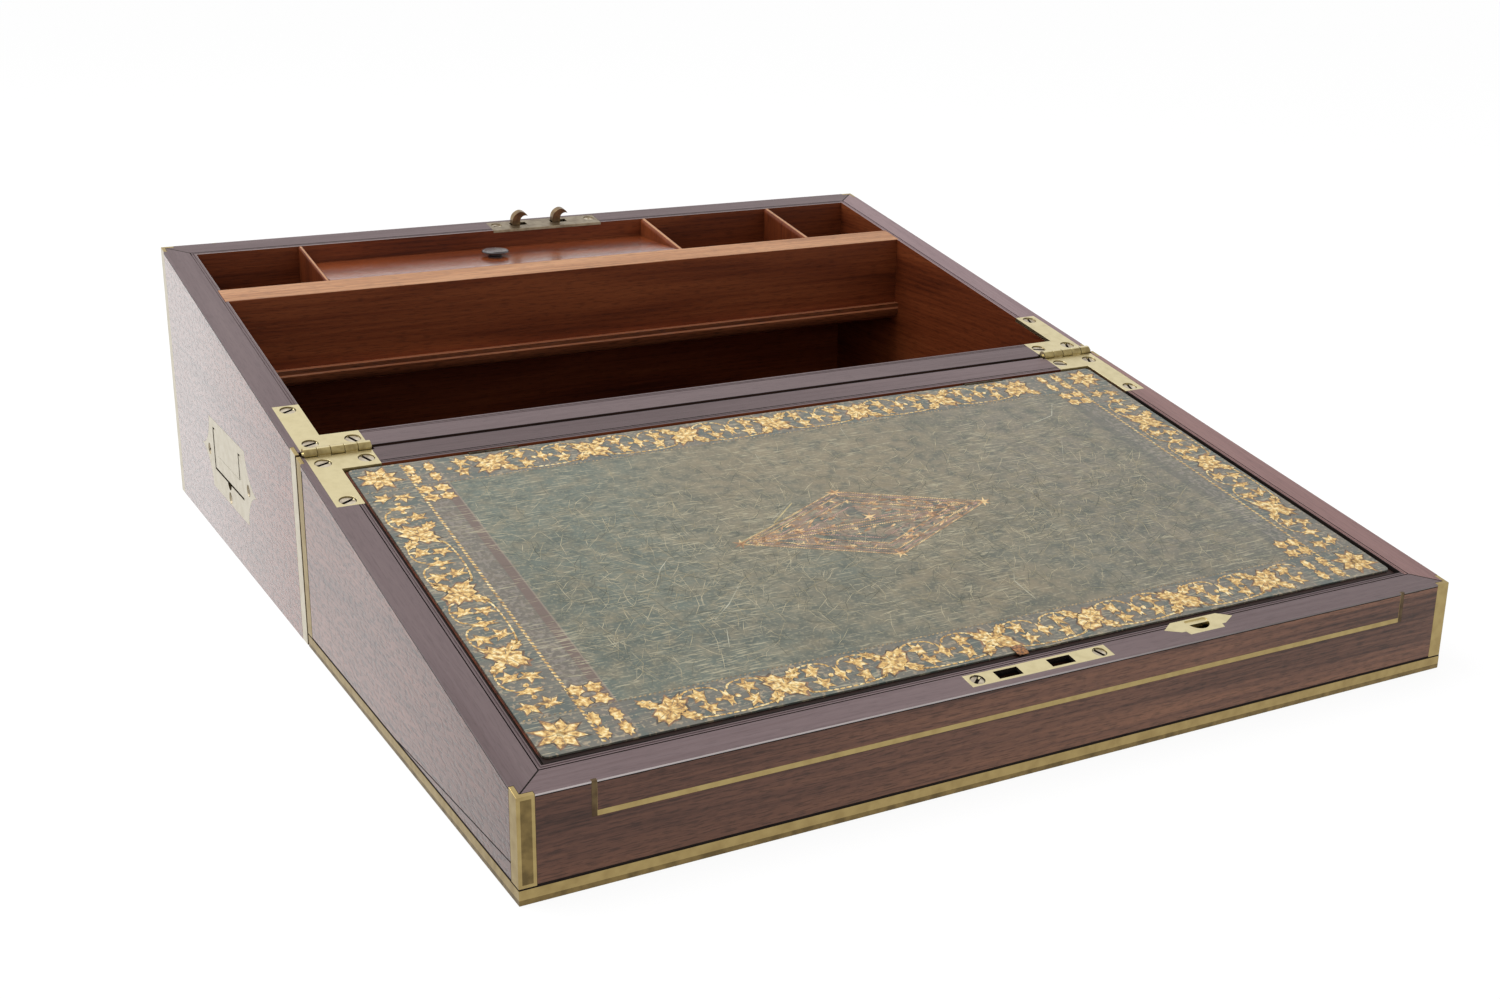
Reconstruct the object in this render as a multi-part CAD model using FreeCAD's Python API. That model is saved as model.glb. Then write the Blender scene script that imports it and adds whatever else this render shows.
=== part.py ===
import FreeCAD, Part
import math
import os
from FreeCAD import Vector

# A portable brass-bound writing box, standing open. The base is the half with y above 0 and the
# lid is the half with y below 0. Both halves end in one sloping plane, the closing plane, which
# passes through the hinge line (y 0, z SEAM_HEIGHT). Lengths are in millimetres.

# ---- the whole box ----
WIDTH = 450.0
DEPTH = 260.0                 # of each half, from the hinge line to its outer face
SEAM_HEIGHT = 92.0            # of the hinge line above the table
BACK_HEIGHT = 142.0           # of the base's back
SEAM_GAP = 1.8                # between the two halves when the box stands open
CLOSING_GAP = 0.3             # between the two rims when the box is shut

# ---- woodwork ----
VENEER = 1.2
SIDE_WALL = 11.8
END_WALL = 10.6               # base back and lid front
SEAM_WALL = 13.1              # base front and lid back
RIM_THICK = 3.0
LINING = 3.0
QUIRK = 0.5                   # width and depth of the two fine lines along a lining's edge
BOARD = 8.0                   # bottom of the base and top panel of the lid

# ---- fittings inside the base ----
CROSS_WALL_FROM_BACK = 52.0   # clear width of the tray
CROSS_WALL_THICK = 16.0
HOUSING = 1.5                 # how far the cross wall enters each side lining
TRAY_FLOOR_HEIGHT = 76.0
TRAY_FLOOR_THICK = 6.0
MOULDING_HEIGHT = 10.0
MOULDING_DEPTH = 4.0
MOULDING_BEAD = 2.4
LEFT_COMPARTMENT = 56.9       # clear widths; the pen tray takes what is left
RIGHT_COMPARTMENT = 54.3
MIDDLE_COMPARTMENT = 83.3
LEFT_DIVIDER_THICK = 2.6
MIDDLE_DIVIDER_THICK = 4.3
RIGHT_DIVIDER_THICK = 4.3
TRAY_LID_TOP = 128.8
TRAY_LID_THICK = 4.5
TRAY_LID_PLAY = 0.4
LEDGE = 5.0
KNOB_RADIUS = 8.0
KNOB_HEIGHT = 3.9
KNOB_NECK = 3.4
KNOB_TENON = 2.2

# ---- brass let into the outside ----
STRAP_THICK = 2.0
BASE_SEAM_STRAP = 8.0
LID_SEAM_STRAP = 7.0
CORNER_STRAP = 7.0
BINDING_HEIGHT = 6.0
BINDING_GAP = 0.5             # open joint between the binding and the straps above it
STRING_WIDTH = 2.2
STRING_MARGIN = 28.0          # from the side and bottom edges to the inlaid line

# ---- main hinges ----
HINGE_MARGIN = 3.4            # wood left outside each leaf
HINGE_WIDTH = 31.0            # along the hinge line
HINGE_THICK = 2.0
LEAF_ARM = 51.0               # reach of a leaf's long arm from the hinge line
KNUCKLE_RADIUS = 2.8
KNUCKLE_COUNT = 5
KNUCKLE_GAP = 0.3
KNUCKLE_ROOM = 0.35           # round a knuckle in the wood and the other leaf
PIN_RADIUS = 1.0
PIN_PLAY = 0.05
PIN_END = 0.6                 # how far a pin stands out of its knuckles
SCREW_HEAD_RADIUS = 3.8
SCREW_HEAD_DEPTH = 1.7
SCREW_SHANK_RADIUS = 1.4
SCREW_LENGTH = 13.0
SCREW_FIT = 0.03
SCREW_SUNK = 0.6              # of every screw head below its plate
SLOT_WIDTH = 0.9
SLOT_DEPTH = 0.6
SCREW_EDGE = 0.5              # metal between a screw head and the knuckle's room

# ---- lock in the base and striker on the lid ----
LOCK_X = 1.0
LOCK_LENGTH = 70.0
LOCK_EDGE = 2.0               # wood left outside the lock plate
PLATE_THICK = 1.6
STRIKER_WIDTH = 8.0
HOOK_EDGE = 7.0               # from the outer face to the middle of the hooks
HOOKS_X = -2.1                # middle of the two slots that the hooks slide in
HOOK_SPACING = 26.0
HOOK_STEM = 5.0
HOOK_SPAN = 9.7
HOOK_HEIGHT = 8.0
HOOK_THICK = 4.0
HOOK_THROW = 4.0
HOOK_PLAY = 0.6
LOCK_CASE_LENGTH = 54.0
LOCK_CASE_HEIGHT = 32.0
LOCK_CASE_THICK = 8.4
LOCK_CASE_WALL = 1.2
BOLT_BAR_HEIGHT = 8.0
LOCK_SCREW_FROM_END = 4.8
SMALL_HEAD_RADIUS = 3.1
SMALL_SHANK_RADIUS = 1.1
SMALL_SCREW_LENGTH = 10.0
ESCUTCHEON_RADIUS = 9.0
ESCUTCHEON_DROP = 21.0        # below the top of the back
KEY_BARREL_RADIUS = 2.2
KEY_BIT_WIDTH = 2.6
KEY_BIT_LENGTH = 6.5

# ---- sunk carrying handles ----
HANDLE_Y = 136.0
HANDLE_Z = 47.5
HANDLE_LENGTH = 74.0
HANDLE_HEIGHT = 39.0
HANDLE_POINT = 21.0           # of the pointed end beyond the plate
HANDLE_PAN_DEPTH = 7.0
HANDLE_PAN_WALL = 3.6
BAIL_LENGTH = 59.0
BAIL_DROP = 20.5              # from the pins to the lower edge of the grip
BAIL_LEG = 6.0
BAIL_GRIP = 8.0
BAIL_THICK = 3.2
BAIL_SUNK = 0.2
BAIL_GAP = 0.8                # open joint round the outside of the bail
BAIL_INNER_GAP = 0.4
PIVOT_Z = 60.5
BAIL_PIN_RADIUS = 1.1
NAIL_NOTCH = 4.0

# ---- writing flap ----
FLAP_DEPTH = 0.6              # of the leather below the closing plane
LEATHER_THICK = 0.8
FLAP_THICK = 8.0
FLAP_PLAY = 1.0               # round the flap's sides and front
LEATHER_SIDE_MARGIN = 0.8     # board left bare round the leather
LEATHER_FRONT_MARGIN = 2.6
LEATHER_BACK_MARGIN = 0.1
FLAP_LEDGE = 5.0
FLAP_HINGE_INSET = 71.0       # from the inside of a side lining to the middle of a hinge
FLAP_HINGE_LENGTH = 24.0
FLAP_HINGE_DROP = 7.0
FLAP_HINGE_PLATE = 0.5
FLAP_KNUCKLE_RADIUS = 1.0
FLAP_PIN_RADIUS = 0.5
FLAP_PIN_DEPTH = 1.2          # below the closing plane
FLAP_PIN_FROM_RAIL = 1.1      # from the pin to the rail behind the flap
FLAP_PIN_FROM_BOARD = 0.6
TAB_WIDTH = 6.0
TAB_LENGTH = 9.0
TAB_THICK = 0.9

# ---- flap lock on the lid's front rim ----
FLAP_LOCK_X = 87.0
FLAP_LOCK_LENGTH = 37.4
FLAP_LOCK_WIDTH = 10.2
FLAP_CASE_LENGTH = 28.0
FLAP_CASE_WALL = 1.0
FLAP_BOLT_WIDTH = 11.0
FLAP_BOLT_THICK = 3.6
FLAP_BOLT_LENGTH = 6.0
FLAP_BOLT_THROW = 3.0
FLAP_BOLT_PLAY = 0.3
FLAP_KEY_RADIUS = 5.5         # of the keyhole's round edge
FLAP_KEY_DEPTH = 4.0          # from its straight edge to the round one
PUSH_LENGTH = 12.0            # the shallow oval beside the keyhole
PUSH_WIDTH = 2.4
PUSH_DEPTH = 0.6

SLOPE = math.atan2(BACK_HEIGHT - SEAM_HEIGHT, DEPTH)
RIM_DEPTH = CLOSING_GAP / 2   # of both rims below the closing plane
FAR = 4 * (WIDTH + DEPTH)     # a length that passes the box on every side
INNER_X = WIDTH / 2 - VENEER - SIDE_WALL - LINING
SEAM_RAIL_Y = SEAM_GAP / 2 + SEAM_WALL + LINING        # distances from the hinge line to the
END_RAIL_Y = DEPTH - VENEER - END_WALL - LINING        # inside of each half, base and lid alike

nodes = {}


# ---- helpers ----
def box(x0, x1, y0, y1, z0, z1):
    return Part.makeBox(x1 - x0, y1 - y0, z1 - z0, Vector(x0, y0, z0))


def on_slope(shape):
    """Tips a shape made on a level closing plane (z 0) on to the sloping one."""
    placed = shape.copy()
    placed.rotate(Vector(0, 0, 0), Vector(1, 0, 0), math.degrees(SLOPE))
    placed.translate(Vector(0, 0, SEAM_HEIGHT))
    return placed


def slope_layer(top, bottom):
    """The layer between two depths below the closing plane."""
    return on_slope(box(-FAR, FAR, -FAR, FAR, -bottom, -top))


def slope_height(y):
    return SEAM_HEIGHT + y * math.tan(SLOPE)


def mirror_x(shape):
    return shape.mirror(Vector(0, 0, 0), Vector(1, 0, 0))


def mirror_y(shape):
    return shape.mirror(Vector(0, 0, 0), Vector(0, 1, 0))


def for_half(half, shape):
    """Keeps a shape made for the base (y above 0), or turns it over for the lid."""
    return shape if half > 0 else mirror_y(shape)


def prism(points, z0, z1):
    wire = Part.makePolygon([Vector(x, y, z0) for x, y in points + points[:1]])
    return Part.Face(wire).extrude(Vector(0, 0, z1 - z0))


def joined(shapes):
    whole = shapes[0]
    for shape in shapes[1:]:
        whole = whole.fuse(shape)
    return whole.removeSplitter()


def add(name, *shapes):
    """Adds each shape's solids to a node."""
    for shape in shapes:
        nodes.setdefault(name, []).extend(shape.Solids)


def carve(tool, *names):
    """Cuts a tool out of each solid of the named nodes that it reaches."""
    for name in names:
        carved = []
        for solid in nodes[name]:
            reached = solid.BoundBox.intersect(tool.BoundBox)
            carved.extend(solid.cut(tool).Solids if reached else [solid])
        nodes[name] = carved


# ---- boards in a ring round each half ----
def ring(half, inset, thick, z0, top_depth):
    """Mitred boards round one half, inset and thick given as (side, seam, outer)."""
    x_out = WIDTH / 2 - inset[0]
    near_out = SEAM_GAP / 2 + inset[1]
    far_out = DEPTH - inset[2]
    x_in = x_out - thick[0]
    near_in = near_out + thick[1]
    far_in = far_out - thick[2]
    plans = {"left": [(-x_out, near_out), (-x_in, near_in), (-x_in, far_in), (-x_out, far_out)],
             "right": [(x_out, near_out), (x_out, far_out), (x_in, far_in), (x_in, near_in)],
             "outer": [(-x_out, far_out), (-x_in, far_in), (x_in, far_in), (x_out, far_out)]}
    if thick[1] > 0:
        plans["seam"] = [(-x_out, near_out), (x_out, near_out), (x_in, near_in), (-x_in, near_in)]
    below = slope_layer(top_depth, FAR)
    return {name: for_half(half, prism(plan, z0, FAR)).common(below)
            for name, plan in plans.items()}


def make_carcass(half, part, z0):
    """Walls, veneers, rim and lining of one half, whose boards start at height z0."""
    rim_under = RIM_DEPTH + RIM_THICK
    walls = ring(half, (VENEER, 0, VENEER), (SIDE_WALL, SEAM_WALL, END_WALL), z0, rim_under)
    veneers = ring(half, (0, 0, 0), (VENEER, 0, VENEER), z0, rim_under)
    rims = ring(half, (0, 0, 0), (VENEER + SIDE_WALL, SEAM_WALL, VENEER + END_WALL), z0, RIM_DEPTH)
    inside = (VENEER + SIDE_WALL, SEAM_WALL, VENEER + END_WALL)
    linings = ring(half, inside, (LINING, LINING, LINING), z0 + BOARD, RIM_DEPTH)
    outer_name = "back" if half > 0 else "front"
    seam_name = "front" if half > 0 else "back"
    add(part + "_left_wall", walls["left"])
    add(part + "_right_wall", walls["right"])
    add(part + "_" + outer_name + "_wall", walls["outer"])
    add(part + "_" + seam_name + "_wall", walls["seam"])
    add(part + "_side_veneers", veneers["left"], veneers["right"])
    add(part + "_" + outer_name + "_veneer", veneers["outer"])
    layer = slope_layer(RIM_DEPTH, rim_under)
    add(part + "_rim", *[rim.common(layer) for rim in rims.values()])
    add(part + "_lining", *linings.values())
    for offset in (0, (LINING - QUIRK) / 2):
        place = [distance + offset for distance in inside]
        lines = ring(half, place, (QUIRK, QUIRK, QUIRK), 0, -QUIRK)
        for line in lines.values():
            carve(line.common(slope_layer(-QUIRK, RIM_DEPTH + QUIRK)), part + "_lining")


def make_boards():
    """Bottom of the base, top panel of the lid and the veneer over that panel."""
    inner = WIDTH / 2 - VENEER - SIDE_WALL
    far = DEPTH - VENEER - END_WALL
    near = SEAM_GAP / 2 + SEAM_WALL
    add("base_bottom_board", box(-inner, inner, near, far, 0, BOARD))
    add("lid_panel", mirror_y(box(-inner, inner, near, far, VENEER, VENEER + BOARD)))
    add("lid_top_veneer", mirror_y(box(-WIDTH / 2, WIDTH / 2, SEAM_GAP / 2, DEPTH, 0, VENEER)))


# ---- brass let into the outside ----
def corner_strap(z0):
    """Angle strap at the right outer corner of a half."""
    x = WIDTH / 2
    side = box(x - STRAP_THICK, x, DEPTH - CORNER_STRAP, DEPTH, z0, FAR)
    face = box(x - CORNER_STRAP, x, DEPTH - STRAP_THICK, DEPTH, z0, FAR)
    return joined([side, face])


def seam_strap(width, z0):
    x = WIDTH / 2
    return box(x - STRAP_THICK, x, SEAM_GAP / 2, SEAM_GAP / 2 + width, z0, FAR)


def make_straps(half, part, seam_width, z0):
    below = slope_layer(RIM_DEPTH, FAR)
    outer = "back" if half > 0 else "front"
    for strap in (corner_strap(z0), seam_strap(seam_width, z0)):
        right = for_half(half, strap).common(below)
        for brass in (right, mirror_x(right)):
            add(part + "_corner_straps", brass)
            carve(brass, part + "_left_wall", part + "_right_wall", part + "_rim",
                  part + "_front_wall", part + "_back_wall", part + "_side_veneers",
                  part + "_" + outer + "_veneer")


def make_stringing(half, part):
    """A brass line let into the outer face, open at the rim."""
    outer_x = WIDTH / 2 - STRING_MARGIN
    inner_x = outer_x - STRING_WIDTH
    line = box(-outer_x, outer_x, DEPTH - VENEER, DEPTH, STRING_MARGIN, FAR)
    middle = box(-inner_x, inner_x, DEPTH - VENEER, DEPTH, STRING_MARGIN + STRING_WIDTH, FAR)
    brass = for_half(half, line.cut(middle)).common(slope_layer(RIM_DEPTH, FAR))
    outer = "back" if half > 0 else "front"
    add(part + "_" + outer + "_stringing", brass)
    carve(brass, part + "_" + outer + "_veneer", part + "_rim")


def make_binding():
    """Brass strips along the lid's edges that stand on the table, and their open joint."""
    strips = ring(-1, (0, 0, 0), (STRAP_THICK, 0, STRAP_THICK), 0, RIM_DEPTH)
    low = box(-FAR, FAR, -FAR, FAR, 0, BINDING_HEIGHT)
    woods = ("lid_top_veneer", "lid_side_veneers", "lid_front_veneer", "lid_left_wall",
             "lid_right_wall", "lid_front_wall", "lid_back_wall")
    for strip in strips.values():
        brass = strip.common(low)
        add("lid_edge_binding", brass)
        carve(brass, *woods)


# ---- screws ----
def screw(head_radius, shank_radius, length, turn):
    """A countersunk slotted screw with its head level with z 0, driven downwards."""
    head = Part.makeCone(shank_radius, head_radius, SCREW_HEAD_DEPTH, Vector(0, 0, -SCREW_HEAD_DEPTH))
    shank = Part.makeCylinder(shank_radius, length, Vector(0, 0, -length))
    slot = box(-head_radius, head_radius, -SLOT_WIDTH / 2, SLOT_WIDTH / 2, -SLOT_DEPTH, SLOT_DEPTH)
    slot.rotate(Vector(0, 0, 0), Vector(0, 0, 1), turn)
    return joined([head, shank]).cut(slot)


def screw_hole(head_radius, shank_radius, length):
    head = Part.makeCone(shank_radius + SCREW_FIT, head_radius + SCREW_FIT, SCREW_HEAD_DEPTH,
                         Vector(0, 0, -SCREW_HEAD_DEPTH))
    shank = Part.makeCylinder(shank_radius + SCREW_FIT, length, Vector(0, 0, -length))
    above = Part.makeCylinder(head_radius + SCREW_FIT, SCREW_SUNK + HINGE_THICK)
    return joined([head, shank, above])


def drive(place, name, into, head_radius, shank_radius, length, turn):
    """Drives one screw: place moves it from z 0 to its seat."""
    add(name, place(screw(head_radius, shank_radius, length, turn)))
    carve(place(screw_hole(head_radius, shank_radius, length)), *into)


def slope_place(half, x, v):
    """Places a shape on the rim at x and at v along the slope from the hinge line."""
    def place(shape):
        moved = shape.copy()
        moved.translate(Vector(x, half * v, -RIM_DEPTH - SCREW_SUNK))
        return on_slope(moved)
    return place


# ---- main hinges ----
def knuckle_span(index):
    """Lowest and highest x of one knuckle of the right hinge."""
    x_end = WIDTH / 2 - HINGE_MARGIN
    length = (HINGE_WIDTH - (KNUCKLE_COUNT - 1) * KNUCKLE_GAP) / KNUCKLE_COUNT
    x0 = x_end - HINGE_WIDTH + index * (length + KNUCKLE_GAP)
    return x0, x0 + length


def x_cylinder(radius, x0, x1):
    return Part.makeCylinder(radius, x1 - x0, Vector(x0, 0, 0), Vector(1, 0, 0))


def hinge_leaf(half, first):
    """One leaf of the right hinge with every second knuckle, starting at the first."""
    x1 = WIDTH / 2 - HINGE_MARGIN
    x0 = x1 - HINGE_WIDTH
    low = -RIM_DEPTH - HINGE_THICK
    edge = KNUCKLE_RADIUS + KNUCKLE_ROOM
    cross = box(x0, x1, edge, FAR, low, -RIM_DEPTH)
    cross = for_half(half, cross)
    rail = for_half(half, box(x0, x1, 0, SEAM_RAIL_Y, 0, FAR))
    cross = on_slope(cross).common(rail)
    long_arm = on_slope(for_half(half, box(INNER_X, x1, edge, LEAF_ARM, low, -RIM_DEPTH)))
    pieces = [cross, long_arm]
    for index in range(first, KNUCKLE_COUNT, 2):
        k0, k1 = knuckle_span(index)
        web = for_half(half, box(k0, k1, 0, edge + HINGE_THICK, low, -RIM_DEPTH))
        pieces.append(on_slope(web))
        pieces.append(on_slope(x_cylinder(KNUCKLE_RADIUS, k0, k1)))
    bore = on_slope(x_cylinder(PIN_RADIUS + PIN_PLAY, x0 - FAR, x1 + FAR))
    return joined(pieces).cut(bore)


def hinge_screw_places():
    """x and v of the three screws in a right leaf."""
    x_arm = (INNER_X + WIDTH / 2 - HINGE_MARGIN) / 2
    x_cross = WIDTH / 2 - HINGE_MARGIN - HINGE_WIDTH + SCREW_HEAD_RADIUS + 2 * SCREW_EDGE
    edge = KNUCKLE_RADIUS + KNUCKLE_ROOM
    near = edge + SCREW_HEAD_RADIUS + SCREW_EDGE
    v_cross = max(near, (edge + SEAM_RAIL_Y) / 2)
    v_end = LEAF_ARM - SCREW_HEAD_RADIUS - 2 * SCREW_EDGE
    return [(x_arm, v_cross), (x_cross, v_cross), (x_arm, v_end)]


def make_hinges():
    x1 = WIDTH / 2 - HINGE_MARGIN
    x0 = x1 - HINGE_WIDTH
    room = on_slope(x_cylinder(KNUCKLE_RADIUS + KNUCKLE_ROOM, x0 - 2 * PIN_END, x1 + 2 * PIN_END))
    base_woods = ("base_rim", "base_lining", "base_front_wall", "base_left_wall",
                  "base_right_wall", "base_side_veneers", "base_corner_straps")
    lid_woods = ("lid_rim", "lid_lining", "lid_back_wall", "lid_left_wall", "lid_right_wall",
                 "lid_side_veneers", "lid_corner_straps")
    halves = ((1, 0, "base", base_woods), (-1, 1, "lid", lid_woods))
    for half, first, part, woods in halves:
        leaf_node = "hinge_" + part + "_leaves"
        for side in (mirror_x, Part.Shape.copy):
            leaf = side(hinge_leaf(half, first))
            add(leaf_node, leaf)
            carve(leaf, *woods)
            carve(side(room), *woods)
        turn = 20
        for x, v in hinge_screw_places():
            for sign in (-1, 1):
                drive(slope_place(half, sign * x, v), "hinge_" + part + "_screws",
                      (leaf_node,) + woods, SCREW_HEAD_RADIUS, SCREW_SHANK_RADIUS,
                      SCREW_LENGTH, turn)
                turn += 47
    pin = on_slope(x_cylinder(PIN_RADIUS, x0 - PIN_END, x1 + PIN_END))
    add("hinge_pins", mirror_x(pin), pin)


# ---- lock, hooks and striker ----
def hook_v():
    return (DEPTH - HOOK_EDGE) / math.cos(SLOPE)


def hook_places():
    """Left edge of each hook's stem at rest."""
    middle = HOOKS_X - (HOOK_STEM + HOOK_THROW) / 2
    return [middle - HOOK_SPACING / 2, middle + HOOK_SPACING / 2]


def hook(x):
    """A crescent hook that leans over towards +X, on the level closing plane."""
    top = HOOK_HEIGHT
    foot = Vector(x, 0, -hook_foot())
    shoulder = Vector(x, 0, top * 0.2)
    crown = Vector(x + HOOK_STEM, 0, top)
    tip = Vector(x + HOOK_SPAN, 0, top * 0.62)
    throat = Vector(x + HOOK_STEM, 0, top * 0.27)
    heel = Vector(x + HOOK_STEM, 0, -hook_foot())
    back = Vector(x + HOOK_STEM * 0.24, 0, top * 0.74)
    brow = Vector(x + HOOK_SPAN * 0.82, 0, top * 0.88)
    jaw = Vector(x + HOOK_SPAN * 0.66, 0, top * 0.62)
    edges = [Part.LineSegment(foot, shoulder).toShape(),
             Part.Arc(shoulder, back, crown).toShape(),
             Part.Arc(crown, brow, tip).toShape(),
             Part.Arc(tip, jaw, throat).toShape(),
             Part.LineSegment(throat, heel).toShape(),
             Part.LineSegment(heel, foot).toShape()]
    solid = Part.Face(Part.Wire(edges)).extrude(Vector(0, HOOK_THICK, 0))
    solid.translate(Vector(0, hook_v() - HOOK_THICK / 2, 0))
    return on_slope(solid)


def case_shape(x_middle, length, y0, y1, depth, wall):
    """A lock case under the rim, hollow and open upwards: (outside, hollow)."""
    x0 = x_middle - length / 2
    x1 = x_middle + length / 2
    return (box(x0, x1, y0, y1, 0, FAR).common(slope_layer(RIM_DEPTH + PLATE_THICK, depth)),
            box(x0 + wall, x1 - wall, y0 + wall, y1 - wall, 0, FAR).common(
                slope_layer(RIM_DEPTH + PLATE_THICK, depth - wall)))


def slot_tool(half, x0, x1, width, depth):
    """A straight-sided sinking under the hooks, down from the closing plane."""
    middle = hook_v()
    tool = box(x0, x1, middle - width / 2, middle + width / 2, -depth, RIM_DEPTH)
    return on_slope(for_half(half, tool))


def make_lock():
    """Plate, case and hooks in the base's back wall."""
    x0 = LOCK_X - LOCK_LENGTH / 2
    x1 = LOCK_X + LOCK_LENGTH / 2
    woods = ("base_rim", "base_lining", "base_back_wall")
    flat = box(x0, x1, 0, (DEPTH - LOCK_EDGE) / math.cos(SLOPE), -RIM_DEPTH - PLATE_THICK, -RIM_DEPTH)
    plate = on_slope(flat).common(box(x0, x1, END_RAIL_Y, FAR, 0, FAR))
    y0 = lock_bar_y() - LOCK_CASE_THICK / 2
    y1 = lock_bar_y() + LOCK_CASE_THICK / 2
    case, hollow = case_shape(LOCK_X, LOCK_CASE_LENGTH, y0, y1, LOCK_CASE_HEIGHT, LOCK_CASE_WALL)
    add("base_lock_plate", plate)
    add("base_lock_case", case.cut(hollow))
    carve(plate, *woods)
    carve(case, *woods)
    make_hooks()
    for x, turn in ((x0 + LOCK_SCREW_FROM_END, 15), (x1 - LOCK_SCREW_FROM_END, 70)):
        drive(slope_place(1, x, hook_v()), "base_small_screws",
              ("base_lock_plate", "base_lock_case") + woods,
              SMALL_HEAD_RADIUS, SMALL_SHANK_RADIUS, SMALL_SCREW_LENGTH, turn)


def lock_bar_y():
    """Middle of the upright bar and case, under the feet of the leaning hooks."""
    return DEPTH - HOOK_EDGE + hook_foot() * math.tan(SLOPE)


def hook_foot():
    """Depth of the hooks' feet, which reach halfway down the bar."""
    return RIM_DEPTH + PLATE_THICK + BOLT_BAR_HEIGHT / 2


def make_hooks():
    """Both hooks on one bar, which slides inside the lock case."""
    places = hook_places()
    y = lock_bar_y()
    top = RIM_DEPTH + PLATE_THICK + HOOK_PLAY
    bar = box(places[0] - HOOK_STEM / 2, places[1] + HOOK_STEM * 1.5, y - HOOK_THICK / 2,
              y + HOOK_THICK / 2, 0, FAR).common(slope_layer(top, top + BOLT_BAR_HEIGHT))
    add("hook_bolt", joined([bar] + [hook(x) for x in places]))
    for x in places:
        carve(slot_tool(1, x - HOOK_PLAY, x + HOOK_STEM + HOOK_THROW + HOOK_PLAY,
                        HOOK_THICK + HOOK_PLAY, RIM_DEPTH + PLATE_THICK + HOOK_PLAY),
              "base_lock_plate")


def make_striker():
    """Slotted plate on the lid's front rim, and the sinkings behind its slots."""
    x0 = LOCK_X - LOCK_LENGTH / 2
    x1 = LOCK_X + LOCK_LENGTH / 2
    middle = hook_v()
    flat = box(x0, x1, middle - STRIKER_WIDTH / 2, middle + STRIKER_WIDTH / 2,
               -RIM_DEPTH - PLATE_THICK, -RIM_DEPTH)
    plate = on_slope(mirror_y(flat))
    woods = ("lid_rim", "lid_front_wall")
    carve(plate, *woods)
    add("striker_plate", plate)
    for x in hook_places():
        width = HOOK_THICK + 2 * HOOK_PLAY
        carve(slot_tool(-1, x - HOOK_PLAY, x + HOOK_SPAN + 2 * HOOK_PLAY, width,
                        RIM_DEPTH + PLATE_THICK), "striker_plate")
        carve(slot_tool(-1, x - HOOK_PLAY, x + HOOK_SPAN + HOOK_THROW + 2 * HOOK_PLAY, width,
                        HOOK_HEIGHT + 2 * HOOK_PLAY), *woods)
    for x, turn in ((x0 + LOCK_SCREW_FROM_END, 40), (x1 - LOCK_SCREW_FROM_END, 110)):
        drive(slope_place(-1, x, middle), "striker_screws", ("striker_plate",) + woods,
              SMALL_HEAD_RADIUS, SMALL_SHANK_RADIUS, SMALL_SCREW_LENGTH, turn)


def make_escutcheon():
    """Round key plate, level with the back veneer, and the key's way to the lock case."""
    z = BACK_HEIGHT - ESCUTCHEON_DROP
    disc = Part.makeCylinder(ESCUTCHEON_RADIUS, VENEER, Vector(LOCK_X, DEPTH - VENEER, z),
                             Vector(0, 1, 0))
    y0 = DEPTH - HOOK_EDGE
    barrel = Part.makeCylinder(KEY_BARREL_RADIUS, FAR, Vector(LOCK_X, y0, z), Vector(0, 1, 0))
    bit = box(LOCK_X - KEY_BIT_WIDTH / 2, LOCK_X + KEY_BIT_WIDTH / 2, y0, FAR, z - KEY_BIT_LENGTH, z)
    keyway = joined([barrel, bit])
    carve(disc, "base_back_veneer")
    add("back_escutcheon", disc.cut(keyway))
    carve(keyway, "base_back_veneer", "base_back_wall", "base_lock_case")


# ---- sunk carrying handles, made for the right side ----
def handle_outline():
    """Face plate with a point at each end, in the plane x 0."""
    a = HANDLE_LENGTH / 2
    b = HANDLE_HEIGHT / 2
    tip = a + HANDLE_POINT
    waist_y = a + HANDLE_POINT * 0.3
    waist_z = b * 0.33
    edges = [Part.LineSegment(Vector(0, -a, b), Vector(0, a, b)).toShape(),
             Part.Arc(Vector(0, a, b), Vector(0, waist_y, waist_z), Vector(0, tip, 0)).toShape(),
             Part.Arc(Vector(0, tip, 0), Vector(0, waist_y, -waist_z), Vector(0, a, -b)).toShape(),
             Part.LineSegment(Vector(0, a, -b), Vector(0, -a, -b)).toShape(),
             Part.Arc(Vector(0, -a, -b), Vector(0, -waist_y, -waist_z), Vector(0, -tip, 0)).toShape(),
             Part.Arc(Vector(0, -tip, 0), Vector(0, -waist_y, waist_z), Vector(0, -a, b)).toShape()]
    return Part.Face(Part.Wire(edges))


def bail_shape(grow_out, grow_in, back, front):
    """The U of the bail, or the room for it, between two x places inside the plate's face."""
    a = BAIL_LENGTH / 2 + grow_out
    leg = BAIL_LENGTH / 2 - BAIL_LEG - grow_in
    low = PIVOT_Z - BAIL_DROP - grow_out
    grip = PIVOT_Z - BAIL_DROP + BAIL_GRIP + grow_in
    x0 = WIDTH / 2 - back
    x1 = WIDTH / 2 - front
    outer = box(x0, x1, HANDLE_Y - a, HANDLE_Y + a, low, PIVOT_Z)
    inner = box(x0, x1, HANDLE_Y - leg, HANDLE_Y + leg, grip, PIVOT_Z)
    return outer.cut(inner)


def leg_ends(grow, radius):
    """Rounded upper ends of the bail's legs, about the pins."""
    ends = []
    for sign in (-1, 1):
        middle = HANDLE_Y + sign * (BAIL_LENGTH / 2 - BAIL_LEG / 2)
        length = BAIL_LEG + 2 * grow
        ends.append(Part.makeCylinder(radius, length, Vector(bail_x(), middle - length / 2, PIVOT_Z),
                                      Vector(0, 1, 0)))
    return ends


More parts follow.
